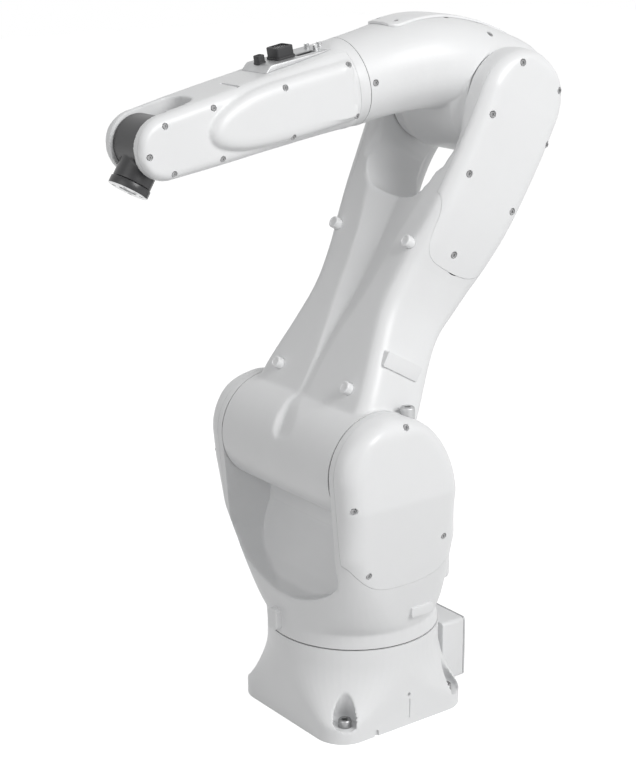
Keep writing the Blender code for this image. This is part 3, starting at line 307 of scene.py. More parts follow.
def block(name, low, high, radius, axis="Z", bevel=0.0):
    """A box between two corners, rounded about one axis."""
    index = "XYZ".index(axis)
    plane = [side for side in range(3) if side != index]
    outline = rounded_section(low[plane[0]], high[plane[0]], low[plane[1]], high[plane[1]], radius, 8)
    return prism(name, outline, low[index], high[index], axis, bevel)


def tile(name, sides, corner, low, high, bevel=0.0, steps=8):
    """A rounded rectangle, its sides given in mm as low x, high x, low y, high y, pushed along Z."""
    outline = rounded_section(*(side * mm for side in sides), corner * mm, steps)
    return prism(name, outline, low, high, "Z", bevel * mm)


def share(value, low, high):
    """How far a value lies between two others, from 0 to 1."""
    return min(max((value - low) / (high - low), 0.0), 1.0)


def mix(low, high, part):
    return low + (high - low) * part


def curve_through(stops, place):
    """Smooth value at a place along a curve through (place, value) stops."""
    if place <= stops[0][0]:
        return stops[0][1]
    if place >= stops[-1][0]:
        return stops[-1][1]
    slopes = []
    for index in range(len(stops)):
        before = stops[max(index - 1, 0)]
        after = stops[min(index + 1, len(stops) - 1)]
        slopes.append((after[1] - before[1]) / (after[0] - before[0]))
    index = max(i for i in range(len(stops) - 1) if stops[i][0] <= place)
    low, first = stops[index]
    high, second = stops[index + 1]
    span = high - low
    part = (place - low) / span
    rise = part * part * (3 - 2 * part)
    lead = part * (1 - part) ** 2 * slopes[index] * span
    trail = part * part * (part - 1) * slopes[index + 1] * span
    return first + (second - first) * rise + lead + trail


def round_corners(outline, reach, steps=6):
    """The same outline with each corner eased into a short curve."""
    eased = []
    count = len(outline)
    for index in range(count):
        here = Vector(outline[index])
        before = Vector(outline[index - 1]) - here
        after = Vector(outline[(index + 1) % count]) - here
        start = here + before.normalized() * min(reach, before.length * 0.48)
        end = here + after.normalized() * min(reach, after.length * 0.48)
        for step in range(steps + 1):
            part = step / steps
            point = start * (1 - part) ** 2 + here * 2 * part * (1 - part) + end * part ** 2
            eased.append((point.x, point.y))
    return eased


def cover_region(name, outline, seam, side, outside, grow):
    """The space outside a side cover's flat seam, given at two heights; grow moves its edges out."""
    (low, low_depth), (high, high_depth) = seam
    middle_x = sum(point[0] for point in outline) / len(outline)
    middle_z = sum(point[1] for point in outline) / len(outline)
    inner = []
    outer = []
    for x, z in round_corners(outline, 24 * mm):
        reach = math.hypot(x - middle_x, z - middle_z)
        x += grow * (x - middle_x) / reach
        z += grow * (z - middle_z) / reach
        depth = mix(low_depth, high_depth, (z - low) / (high - low)) - grow
        inner.append((x, side * depth, z))
        outer.append((x, side * outside, z))
    return loft(name, [inner, outer])


def eased_loop(points, steps=6):
    """A closed smooth curve through the points given."""
    count = len(points)
    curve = []
    for index in range(count):
        p0, p1, p2, p3 = (Vector(points[(index + offset) % count]) for offset in (-1, 0, 1, 2))
        for step in range(steps):
            t = step / steps
            point = 0.5 * (
                2 * p1 + (p2 - p0) * t + (2 * p0 - 5 * p1 + 4 * p2 - p3) * t ** 2 + (3 * p1 - p0 - 3 * p2 + p3) * t ** 3
            )
            curve.append((point.x, point.y))
    return curve


def drawn_in(outline, inset):
    """The outline with every point moved inwards, square to the curve."""
    count = len(outline)
    middle = Vector((sum(p[0] for p in outline) / count, sum(p[1] for p in outline) / count))
    moved = []
    for index in range(count):
        here = Vector(outline[index])
        run = Vector(outline[(index + 2) % count]) - Vector(outline[index - 2])
        inward = Vector((-run.y, run.x)).normalized()
        if inward.dot(middle - here) < 0:
            inward = -inward
        point = here + inward * inset
        moved.append((point.x, point.y))
    return moved


def bake(piece):
    """Apply the piece's modifiers to its mesh."""
    depsgraph = bpy.context.evaluated_depsgraph_get()
    shape = bpy.data.meshes.new_from_object(piece.evaluated_get(depsgraph), depsgraph=depsgraph)
    piece.modifiers.clear()
    old = piece.data
    piece.data = shape
    bpy.data.meshes.remove(old)


def discard(*pieces):
    for piece in pieces:
        mesh = piece.data
        bpy.data.objects.remove(piece)
        bpy.data.meshes.remove(mesh)


def combine(piece, others, operation, keep=False):
    for other in others:
        step = piece.modifiers.new(other.name, "BOOLEAN")
        step.operation = operation
        step.object = other
        step.solver = "MANIFOLD"
    bake(piece)
    if not keep:
        discard(*others)
    return piece


def cut(piece, *others, keep=False):
    return combine(piece, others, "DIFFERENCE", keep)


def join(piece, *others, keep=False):
    return combine(piece, others, "UNION", keep)


def limit(piece, *others, keep=False):
    return combine(piece, others, "INTERSECT", keep)


def copied(piece, name):
    return into_scene(name, piece.data.copy())


def soften(piece, cell, reach):
    """Give every edge the rounding of a casting: an even skin of small cells, relaxed over the reach given."""
    skin = piece.modifiers.new("skin", "REMESH")
    skin.mode = "VOXEL"
    skin.voxel_size = cell
    ease = piece.modifiers.new("ease", "SMOOTH")
    ease.factor = 0.5
    ease.iterations = max(int(round((2 * reach / cell) ** 2)), 1)
    bake(piece)
    return piece


def grown(piece, name, amount):
    """A copy whose surface stands off by the amount given."""
    twin = copied(piece, name)
    mesh = twin.data
    count = len(mesh.vertices)
    points = np.zeros(count * 3)
    normals = np.zeros(count * 3)
    mesh.vertices.foreach_get("co", points)
    mesh.vertex_normals.foreach_get("vector", normals)
    mesh.vertices.foreach_set("co", points + normals * amount)
    mesh.update()
    return twin


def surface_of(piece):
    points = [vertex.co for vertex in piece.data.vertices]
    faces = [tuple(face.vertices) for face in piece.data.polygons]
    return BVHTree.FromPolygons(points, faces)


def many(name, parts):
    """One mesh from several (points, faces) parts."""
    points = []
    faces = []
    for part_points, part_faces in parts:
        start = len(points)
        points += part_points
        faces += [tuple(start + index for index in face) for face in part_faces]
    return add_mesh(name, points, faces)


def put(piece, node, body, finish):
    """Set a finished piece in place on its body, standing for one node of the frame, or adding to it."""
    mesh = piece.data
    mesh.transform(body_places[body])
    mesh.materials.clear()
    mesh.materials.append(finish)
    mesh.polygons.foreach_set("material_index", np.zeros(len(mesh.polygons), np.int32))
    mesh.shade_smooth()
    mesh.set_sharp_from_angle(angle=math.radians(sharp_angle))
    mesh.update()
    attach(piece, body)
    if node:
        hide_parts(node)
    return piece


# Finishes

def node_of(tree, kind, **values):
    node = tree.nodes.new(kind)
    for name, value in values.items():
        setattr(node, name, value)
    return node


def math_node(tree, operation, first, second, clamp=False):
    """A Math node; each side is a number or an output."""
    node = node_of(tree, "ShaderNodeMath", operation=operation, use_clamp=clamp)
    for index, value in enumerate((first, second)):
        if isinstance(value, (int, float)):
            node.inputs[index].default_value = value
        else:
            tree.links.new(value, node.inputs[index])
    return node.outputs[0]


def new_group(name, inputs):
    """A node group with these inputs and the three outputs that surface() reads, and its place and end nodes."""
    tree = bpy.data.node_groups.new(name, "ShaderNodeTree")
    for label, value in inputs.items():
        kind = "NodeSocketColor" if isinstance(value, tuple) else "NodeSocketFloat"
        socket = tree.interface.new_socket(label, in_out="INPUT", socket_type=kind)
        socket.default_value = (*value, 1.0) if isinstance(value, tuple) else value
    for label, kind in (("Colour", "NodeSocketColor"), ("Roughness", "NodeSocketFloat"), ("Height", "NodeSocketFloat")):
        tree.interface.new_socket(label, in_out="OUTPUT", socket_type=kind)
    given = node_of(tree, "NodeGroupInput").outputs
    result = node_of(tree, "NodeGroupOutput").inputs
    return tree, given, result, node_of(tree, "ShaderNodeTexCoord").outputs["Object"]


def noise_node(tree, place, scale, detail, roughness=0.5):
    node = node_of(tree, "ShaderNodeTexNoise")
    node.inputs["Detail"].default_value = detail
    node.inputs["Roughness"].default_value = roughness
    tree.links.new(place, node.inputs["Vector"])
    if isinstance(scale, (int, float)):
        node.inputs["Scale"].default_value = scale
    else:
        tree.links.new(scale, node.inputs["Scale"])
    return node.outputs["Fac"]


def blend_node(tree, part, first, second):
    blend = node_of(tree, "ShaderNodeMix", data_type="RGBA")
    for socket, value in (("Factor", part), ("A", first), ("B", second)):
        tree.links.new(value, blend.inputs[socket])
    return blend.outputs["Result"]


def sprayed_coat_group():
    """Colour that drifts a little over a large casting, fine orange peel, and rubbed edges."""
    tree, given, result, place = new_group("sprayed_coat", {
        "Colour": (0.8, 0.8, 0.8), "Rubbed Colour": (0.6, 0.6, 0.6), "Drift": 0.03, "Gloss": 0.35,
        "Gloss Drift": 0.06, "Peel Scale": 700.0, "Rubbing": 0.3,
    })

    def noise(scale, detail, roughness=0.5):
        return noise_node(tree, place, scale, detail, roughness)

    def plus(first, second):
        return math_node(tree, "ADD", first, second)

    def times(first, second, clamp=False):
        return math_node(tree, "MULTIPLY", first, second, clamp)

    def minus(first, second, clamp=False):
        return math_node(tree, "SUBTRACT", first, second, clamp)

    swing = minus(plus(times(noise(9.0, 3.0), 1.4), times(noise(46.0, 4.0, 0.6), 0.6)), 1.0)
    tone = node_of(tree, "ShaderNodeVectorMath", operation="SCALE")
    tree.links.new(given["Colour"], tone.inputs[0])
    tree.links.new(plus(times(swing, given["Drift"]), 1.0), tone.inputs["Scale"])

    sharpness = node_of(tree, "ShaderNodeNewGeometry").outputs["Pointiness"]
    edge = node_of(tree, "ShaderNodeMapRange")
    edge.inputs["From Min"].default_value = 0.53
    edge.inputs["From Max"].default_value = 0.62
    tree.links.new(sharpness, edge.inputs["Value"])
    patchy = minus(times(noise(130.0, 3.0, 0.7), 3.2), 1.1, True)
    rubbed = times(times(edge.outputs[0], patchy), given["Rubbing"], True)
    tree.links.new(blend_node(tree, rubbed, tone.outputs[0], given["Rubbed Colour"]), result["Colour"])

    gloss_swing = times(minus(noise(28.0, 3.0), 0.5), 2.0)
    tree.links.new(plus(given["Gloss"], times(gloss_swing, given["Gloss Drift"])), result["Roughness"])
    peel = times(noise(given["Peel Scale"], 2.0), 0.45)
    tree.links.new(plus(peel, times(noise(95.0, 1.0), 0.55)), result["Height"])
    return tree


def cut_metal_group():
    """Metal from a lathe or mill: fine lines round or along the piece, and dull blotches from handling."""
    tree, given, result, place = new_group("cut_metal", {
        "Colour": (0.6, 0.6, 0.6), "Dull Colour": (0.4, 0.4, 0.4), "Roughness": 0.3, "Line Scale": 900.0,
        "Blotches": 0.4,
    })
    stretch = node_of(tree, "ShaderNodeMapping")
    stretch.inputs["Scale"].default_value = (1.0, 1.0, 0.04)
    tree.links.new(place, stretch.inputs["Vector"])
    lines = noise_node(tree, stretch.outputs[0], given["Line Scale"], 2.0)
    blotch = noise_node(tree, place, 70.0, 4.0, 0.65)
    dull = math_node(tree, "SUBTRACT", math_node(tree, "MULTIPLY", blotch, 3.0), 1.15, True)
    dull = math_node(tree, "MULTIPLY", dull, given["Blotches"], True)
    tree.links.new(blend_node(tree, dull, given["Colour"], given["Dull Colour"]), result["Colour"])
    rough = math_node(tree, "ADD", given["Roughness"], math_node(tree, "MULTIPLY", dull, 0.16))
    rough = math_node(tree, "ADD", rough, math_node(tree, "MULTIPLY", lines, 0.06))
    tree.links.new(rough, result["Roughness"])
    tree.links.new(lines, result["Height"])
    return tree


def surface(name, group, values, bump, reach, metallic=0.0, coat=0.0, coat_roughness=0.2, specular=0.5):
    """A material of one Principled shader, with its colour, roughness and bump from a shared group."""
    finish = bpy.data.materials.new(name)
    finish.use_nodes = True
    tree = finish.node_tree
    shader = tree.nodes["Principled BSDF"]
    shader.inputs["Metallic"].default_value = metallic
    shader.inputs["Coat Weight"].default_value = coat
    shader.inputs["Coat Roughness"].default_value = coat_roughness
    shader.inputs["Specular IOR Level"].default_value = specular
    detail = node_of(tree, "ShaderNodeGroup")
    detail.node_tree = group
    for key, value in values.items():
        detail.inputs[key].default_value = (*value, 1.0) if isinstance(value, tuple) else value
    relief = node_of(tree, "ShaderNodeBump")
    relief.inputs["Strength"].default_value = bump
    relief.inputs["Distance"].default_value = reach
    tree.links.new(detail.outputs["Colour"], shader.inputs["Base Color"])
    tree.links.new(detail.outputs["Roughness"], shader.inputs["Roughness"])
    tree.links.new(detail.outputs["Height"], relief.inputs["Height"])
    tree.links.new(relief.outputs["Normal"], shader.inputs["Normal"])
    return finish


sprayed_coat = sprayed_coat_group()
cut_metal = cut_metal_group()


def coat(name, colour, rubbed, drift, gloss, gloss_drift, peel_scale, rubbing, bump, reach, **shine):
    values = {
        "Colour": colour, "Rubbed Colour": rubbed, "Drift": drift, "Gloss": gloss,
        "Gloss Drift": gloss_drift, "Peel Scale": peel_scale, "Rubbing": rubbing,
    }
    return surface(name, sprayed_coat, values, bump, reach, **shine)


def metal(name, colour, dull, roughness, line_scale, blotches, bump, reach, metallic=1.0):
    values = {
        "Colour": colour, "Dull Colour": dull, "Roughness": roughness,
        "Line Scale": line_scale, "Blotches": blotches,
    }
    return surface(name, cut_metal, values, bump, reach, metallic)


casting_paint = coat(
    "casting_paint", (0.80, 0.805, 0.81), (0.62, 0.62, 0.61), 0.045, 0.40, 0.07, 620.0, 0.25, 0.22, 0.0005,
)
cover_paint = coat(
    "cover_paint", (0.815, 0.82, 0.825), (0.66, 0.66, 0.65), 0.03, 0.34, 0.05, 820.0, 0.2, 0.15, 0.0004,
)
wrist_black = coat(
    "wrist_black", (0.018, 0.018, 0.020), (0.09, 0.09, 0.092), 0.25, 0.36, 0.06, 900.0, 0.35, 0.18, 0.0003,
    coat=0.15, coat_roughness=0.25,
)
moulded_black = coat(
    "moulded_black", (0.022, 0.022, 0.024), (0.10, 0.10, 0.10), 0.25, 0.50, 0.08, 1900.0, 0.4, 0.35, 0.0003,
)
seal_rubber = coat(
    "seal_rubber", (0.018, 0.018, 0.018), (0.07, 0.07, 0.07), 0.2, 0.78, 0.08, 1400.0, 0.3, 0.3, 0.0003,
)
motor_enamel = coat(
    "motor_enamel", (0.055, 0.056, 0.06), (0.22, 0.22, 0.22), 0.2, 0.46, 0.08, 1000.0, 0.5, 0.25, 0.0004,
)
turned_metal = metal("turned_metal", (0.66, 0.665, 0.67), (0.50, 0.50, 0.50), 0.24, 1500.0, 0.35, 0.12, 0.0002)
cast_alloy = metal("cast_alloy", (0.52, 0.525, 0.53), (0.40, 0.40, 0.405), 0.42, 420.0, 0.5, 0.2, 0.0003, 0.85)
screw_steel = metal("screw_steel", (0.36, 0.36, 0.365), (0.20, 0.20, 0.20), 0.34, 2600.0, 0.5, 0.15, 0.0001)


# Screws

def socket_head(centre, axis, radius, height):
    """A socket-head screw as (points, faces): its head's top is centred at the point given and looks along axis."""
    turn = Vector((0, 0, 1)).rotation_difference(Vector(axis)).to_matrix()
    steps = 24
    hexagon = radius * 0.50
    profile = (
        (radius * 0.97, -height),
        (radius, -height * 0.9),
        (radius, -radius * 0.22),
        (radius * 0.93, -radius * 0.07),
        (radius * 0.84, 0.0),
    )
    points = []
    faces = []
    rings = []

    def add_ring(values):
        rings.append(len(points))
        for x, y, z in values:
            points.append(tuple(Vector(centre) + turn @ Vector((x, y, z))))

    for reach, level in profile:
        values = []
        for step in range(steps):
            angle = 2 * math.pi * step / steps
            values.append((reach * math.cos(angle), reach * math.sin(angle), level))
        add_ring(values)
    for reach, level in ((hexagon * 1.06, 0.0), (hexagon, -radius * 0.08), (hexagon, -height * 0.55)):
        values = []
        for step in range(steps):
            angle = 2 * math.pi * step / steps
            flat = reach * math.cos(math.pi / 6) / math.cos((angle + math.pi / 6) % (math.pi / 3) - math.pi / 6)
            values.append((flat * math.cos(angle), flat * math.sin(angle), level))
        add_ring(values)
    for low, high in zip(rings, rings[1:]):
        for step in range(steps):
            following = (step + 1) % steps
            faces.append((low + step, low + following, high + following, high + step))
    faces.append(tuple(reversed(range(steps))))
    faces.append(tuple(rings[-1] + step for step in range(steps)))
    return points, faces


def drilled(centre, axis, radius, depth, out):
    """A plain cylinder for cutting, as (points, faces), from depth below the point to out above it."""
    turn = Vector((0, 0, 1)).rotation_difference(Vector(axis)).to_matrix()
    steps = 32
    points = []
    for level in (-depth, out):
        for step in range(steps):
            angle = 2 * math.pi * step / steps
            rim = Vector((radius * math.cos(angle), radius * math.sin(angle), level))
            points.append(tuple(Vector(centre) + turn @ rim))
    faces = []
    for step in range(steps):
        following = (step + 1) % steps
        faces.append((step, following, steps + following, steps + step))
    faces.append(tuple(reversed(range(steps))))
    faces.append(tuple(range(steps, 2 * steps)))
    return points, faces


def seat_in_view(skin, place, u, v):
    """Where the line of sight through a point of the 636 x 774 photograph meets a piece, in the piece's frame."""
    scale = camera_lens * 774 / 36
    back = place.inverted()
    tree = surface_of(skin)
    point = None
    while point is None:
        sight = camera_turn @ Vector(((u - 318) / scale, (387 - v) / scale, -1.0))
        point, normal = tree.ray_cast(back @ camera_place, back.to_3x3() @ sight)[:2]
        v += 1
    return point, normal


def find_seats(skin, places, axis):
    """Where each (x, z) place meets the surface, looked at from outside along Y, or (x, y) along Z."""
    tree = surface_of(skin)
    seats = []
    for a, b in places:
        start = Vector((a, axis[1] * 400 * mm, b)) if axis[1] else Vector((a, b, 400 * mm))
        point = tree.ray_cast(start, -Vector(axis))[0]
        if point is not None:
            seats.append((point, axis))
    return seats


def seated_screws(seats, hole, depth, out, sink, radius, height):
    """The cutter for the seats of some screws, and their heads, at (point, way out) seats; sizes in mm."""
    drills = []
    heads = []
    for point, way in seats:
        drills.append(drilled(point, way, hole * mm, depth * mm, out * mm))
        heads.append(socket_head(Vector(point) - Vector(way) * (sink * mm), way, radius * mm, height * mm))
    return many("screw_seats", drills), heads


# Base

def base_section(height, side_half, corner):
    outline = rounded_section(-side_half, side_half, -side_half, side_half, corner, 16)
    return [(x, y, height) for x, y in outline]


cable_way_outline = rounded_section(-30 * mm, 30 * mm, 22 * mm, 66 * mm, 8 * mm, 8)


def build_base():
    steps = 26
    rings = [base_section(-4 * mm, foot_half, foot_corner), base_section(rim_height, foot_half, foot_corner)]
    for step in range(1, steps + 1):
        part = step / steps
        squareness = (1 - part) ** 2
        height = mix(rim_height + 1.5 * mm, neck_start, part)
        half = mix(neck_radius, foot_half, squareness)
        rings.append(base_section(height, half, mix(neck_radius, foot_corner, squareness)))
    rings.append(base_section(base_top + 4 * mm, neck_radius, neck_radius))
    casting = loft("base_casting_finished", rings)
    pockets = []
    bolts = []
    for side_x in (-1, 1):
        for side_y in (-1, 1):
            centre = (side_x * bolt_pitch_x / 2, side_y * bolt_pitch_y / 2)
            pocket = [
                (pocket_foot_radius, pocket_floor),
                (pocket_foot_radius, pocket_floor + 8 * mm),
                (pocket_top_radius, pocket_top),
            ]
            pockets.append(turned("bolt_pocket", pocket, centre=centre))
            bolts.append(centre)
    cut(casting, *pockets)
    soften(casting, 1.9 * mm, 1.7 * mm)
    limit(casting, block("base_ends", (-150 * mm, -150 * mm, 0), (150 * mm, 150 * mm, base_top), 5 * mm))
    ceiling = base_top - base_ceiling
    ledge = ceiling - base_ceiling
    cutters = [
        disc("base_hollow", neck_radius - base_wall, -10 * mm, ledge),
        disc("base_well", waist_reducer_radius + joint_gap, ledge - 5 * mm, base_top + 5 * mm),
        disc("base_seat", waist_bearing_outer + joint_gap, ceiling, base_top + 5 * mm),
        prism("base_cable_way", cable_way_outline, -113 * mm, -70 * mm, "X"),
    ]
    drills = []
    heads = []
    for x, y in bolts:
        drills.append(drilled((x, y, pocket_floor), (0, 0, 1), bolt_hole_radius, 30 * mm, 3 * mm))
        heads.append(socket_head((x, y, pocket_floor + 9.5 * mm), (0, 0, 1), 8 * mm, 9.3 * mm))
        heads.append(socket_head((x, y, pocket_floor - 0.5 * mm), (0, 0, 1), 4.4 * mm, 15 * mm))
    cutters.append(many("base_bolt_holes", drills))
    slot = rounded_section(-6.6 * mm, -3.6 * mm, 9 * mm, 34 * mm, 1.4 * mm, 6)
    cutters.append(prism("base_slot", slot, foot_half - 1.2 * mm, foot_half + 9 * mm, "Y"))
    notch = rounded_section(41 * mm, 47 * mm, -6 * mm, 8 * mm, 2 * mm, 6)
    cutters.append(prism("base_notch", notch, foot_half - 3 * mm, foot_half + 9 * mm, "Y"))
    cut(casting, *cutters)
    hole = surface_of(casting).ray_cast(Vector((-4.4 * mm, 300 * mm, 40 * mm)), Vector((0, -1, 0)))[0]
    cut(casting, many("base_side_hole", [drilled(hole, (0, 1, 0), 2.6 * mm, 4 * mm, 5 * mm)]))
    put(casting, "base_casting", "base", casting_paint)
    put(many("base_bolts", heads), None, "base", screw_steel)


def build_connector_box():
    box_front = -max(foot_half, neck_radius) - seat_gap
    box_back = box_front - box_depth
    outer = rounded_section(-box_half_width, box_half_width, box_floor, box_top, box_corner, 8)
    box = prism("connector_box_finished", outer, box_back + panel_thickness + seat_gap, box_front, "X", 1.2 * mm)
    inner = rounded_section(-44 * mm, 44 * mm, box_floor + 4 * mm, box_top - 4 * mm, 3 * mm, 6)
    cut(
        box, prism("box_hollow", inner, box_back - 5 * mm, box_front - 5 * mm, "X"),
        prism("box_window", cable_way_outline, box_front - 15 * mm, box_front + 15 * mm, "X"),
    )
    panel = prism("connector_panel_finished", outer, box_back, box_back + panel_thickness, "X", 0.5 * mm)
    sockets = (("power_connector", -24 * mm, 15 * mm, 22 * mm), ("signal_connector", 16 * mm, 13 * mm, 20 * mm))
    for name, y, radius, reach in sockets:
        cut(panel, disc("panel_hole", radius * 0.8, box_back - 5 * mm, box_back + 10 * mm, "X", (y, 56 * mm)))
        profile = [(radius * 0.8 - seat_gap, box_back + 12 * mm), (radius * 0.8 - seat_gap, box_back - seat_gap)]
        profile += [(radius - 0.5 * mm, box_back - seat_gap), (radius, box_back - 0.8 * mm)]
        profile += [(radius, box_back - 2.6 * mm), (radius - 0.5 * mm, box_back - 3.1 * mm)]
        profile += [(radius * 0.84, box_back - 3.5 * mm)]
        ridge = box_back - 5 * mm
        while ridge > box_back - reach + 5 * mm:
            profile += [(radius * 0.84, ridge), (radius * 0.80, ridge - 0.4 * mm)]
            profile += [(radius * 0.80, ridge - 1.0 * mm), (radius * 0.84, ridge - 1.4 * mm)]
            ridge -= 3 * mm
        end = box_back - reach + 3 * mm
        profile += [(radius * 0.84, end + 0.4 * mm), (radius * 0.81, end), (radius * 0.74, end)]
        profile += [(radius * 0.72, end + 0.6 * mm), (radius * 0.72, box_back - 6 * mm)]
        shell = turned(f"{name}_finished", profile, "X", (y, 56 * mm), 64)
        put(shell, name, "base", moulded_black)
        pins = []
        for count, ring in ((1, 0.0), (5, 0.24), (10, 0.5)):
            for index in range(count):
                angle = 2 * math.pi * index / count + 0.3
                across = y + ring * radius * math.cos(angle)
                up = 56 * mm + ring * radius * math.sin(angle)
                pins.append(drilled((box_back - 5.8 * mm, across, up), (-1, 0, 0), 0.6 * mm, 0.4 * mm, 6.5 * mm))
        put(many(f"{name}_pins", pins), None, "base", turned_metal)
    for index, y in enumerate((-30 * mm, -10 * mm, 10 * mm, 30 * mm)):
        profile = [(radius * mm, box_back - depth * mm) for radius, depth in (
            (4.7, 0.3), (5, 0.6), (5, 3.7), (4.7, 4), (4.2, 5), (4.2, 11.5), (3.8, 12), (2.5, 12),
            (2.2, 11.6), (2.2, 4),
        )]
        port = turned(f"base_air_port_{index + 1}_finished", profile, "X", (y, 19 * mm), 48)
        put(port, f"base_air_port_{index + 1}", "base", turned_metal)
    heads = []
    for y in (-42 * mm, 42 * mm):
        for z in (9.5 * mm, 77 * mm):
            heads.append(socket_head((box_back - 1.8 * mm, y, z), (-1, 0, 0), 2.6 * mm, 1.8 * mm))
    put(box, "connector_box", "base", casting_paint)
    put(panel, "connector_panel", "base", cast_alloy)
    put(many("connector_panel_screws", heads), None, "base", screw_steel)


# Turret

def turret_front(height):
    if height <= shoulder_height:
        rise = share(height, base_top, shoulder_height)
        return neck_radius + (shoulder_forward + shoulder_barrel_radius - neck_radius) * rise ** 2
    above = min((height - shoulder_height) / shoulder_barrel_radius, 1.0)
    return shoulder_forward + shoulder_barrel_radius * math.sqrt(1 - above * above)


def turret_rear(height):
    crown = shoulder_height + shoulder_barrel_radius
    if height >= turret_rear_height:
        above = min((height - turret_rear_height) / (crown - turret_rear_height), 1.0)
        return shoulder_forward - (shoulder_forward + turret_rear_reach) * math.sqrt(1 - above * above)
    fall = (turret_rear_height - height) / (turret_rear_height - base_top)
    return -turret_rear_reach - (neck_radius - turret_rear_reach) * min(fall, 1.0) ** 1.5


def turret_width(height):
    crown = shoulder_height + shoulder_barrel_radius
    rise = share(height, base_top + 20 * mm, turret_shoulder_height)
    width = neck_radius + (turret_side - neck_radius) * rise ** 0.75
    over = height - (crown - turret_crown_radius)
    if over > 0:
        width -= turret_crown_radius - math.sqrt(max(turret_crown_radius ** 2 - over ** 2, 0.0))
    return width


def turret_section(height, inset=0.0):
    rise = share(height, base_top + 20 * mm, turret_flank_height)
    corner = mix(neck_radius, turret_corner, rise ** 0.7) - inset
    front = turret_front(height) - inset
    rear = turret_rear(height) + inset
    width = turret_width(height) - inset
    if height > shoulder_height:
        shrink = 1 - inset / shoulder_barrel_radius
        front = mix(shoulder_forward, turret_front(height), shrink)
        rear = mix(shoulder_forward, turret_rear(height), shrink)
        height = mix(shoulder_height, height, shrink)
    return [(x, y, height) for x, y in rounded_section(rear, front, -width, width, corner, corner_steps)]


def turret_envelope(name, low, inset=0.0):
    crown = shoulder_height + shoulder_barrel_radius
    heights = [low, base_top + 10 * mm, base_top + 20 * mm]
    heights += [mix(base_top + 20 * mm, turret_shoulder_height, step / 30) for step in range(1, 31)]
    heights += [mix(turret_shoulder_height, shoulder_height, step / 6) for step in range(1, 7)]
    for degrees in range(4, 88, 4):
        heights.append(shoulder_height + shoulder_barrel_radius * math.sin(math.radians(degrees)))
    heights.append(crown - 0.05 * mm)
    return loft(name, [turret_section(height, inset) for height in heights])


def saddle_outline():
    """Side view of the space between the cheeks, as (x, z) points."""
    clear = shoulder_barrel_radius + saddle_clearance
    rise = shoulder_height - scoop_lip_height
    ceiling = shoulder_height + 104 * mm
    outline = []
    for degrees in range(235, 266, 15):
        angle = math.radians(degrees)
        outline.append((shoulder_forward + clear * math.cos(angle), shoulder_height + clear * math.sin(angle)))
    outline += [
        (shoulder_forward - 4.5 * mm, scoop_lip_height + 0.41 * rise),
        (shoulder_forward + 9.5 * mm, scoop_lip_height + 0.20 * rise),
        (shoulder_forward + 21.5 * mm, scoop_lip_height + 0.07 * rise),
        (shoulder_forward + 34.5 * mm, scoop_lip_height - 3 * mm),
        (shoulder_forward + 53.5 * mm, scoop_lip_height - 11 * mm),
        (shoulder_forward + 118.5 * mm, scoop_lip_height - 18 * mm),
        (shoulder_forward + 118.5 * mm, ceiling),
        (-170 * mm, ceiling),
        (-170 * mm, rear_sill_height - 10 * mm),
        (-62 * mm, rear_sill_height),
        (-30 * mm, rear_sill_height + 14 * mm),
    ]
    return outline


def scoop_outline():
    """Front view of the same space, as (y, z) points: a wide bowl that narrows towards the lip."""
    half = [(y * mm, scoop_lip_height + rise * mm) for y, rise in (
        (12, -9), (32, -5), (50, 0.5), (64, 6), (76, 12), (86, 18), (94, 25), (100, 33), (103.7, 43),
    )]
    half += [(cheek_inner, scoop_lip_height + 57 * mm), (cheek_inner, shoulder_height + 104 * mm)]
    return half + [(-y, z) for y, z in reversed(half)]


turret_cover_rise = shoulder_height - turret_cover_foot
turret_cover_outline = [(200 * mm, shoulder_height + 124 * mm), (-200 * mm, shoulder_height + 124 * mm)]
turret_cover_outline += [(x * mm, turret_cover_foot + part * turret_cover_rise) for x, part in (
    (-200, 0.537), (-70, 0.328), (-46, 0.146), (-26, 0.042), (0, 0),
    (40, 0), (66, 0.042), (86, 0.146), (108, 0.328), (200, 0.537),
)]
turret_cover_seams = (
    (turret_cover_foot, turret_cover_seam),
    (turret_shoulder_height, turret_cover_seam),
)
turret_near_screws = in_mm((104.4, 305.7), (75.9, 219.2), (33.7, 389.3), (-29.2, 244.1))


def throat(name, half, ease):
    """The space between the cheeks, limited by the scoop in front view."""
    side_view = prism(name, [(x, z - ease) for x, z in saddle_outline()], -half - 5 * mm, half + 5 * mm, "Y")
    outline = [(min(max(y, -half), half), z - ease) for y, z in scoop_outline()]
    return limit(side_view, prism(name + "_limit", outline, -180 * mm, 180 * mm, "X"))


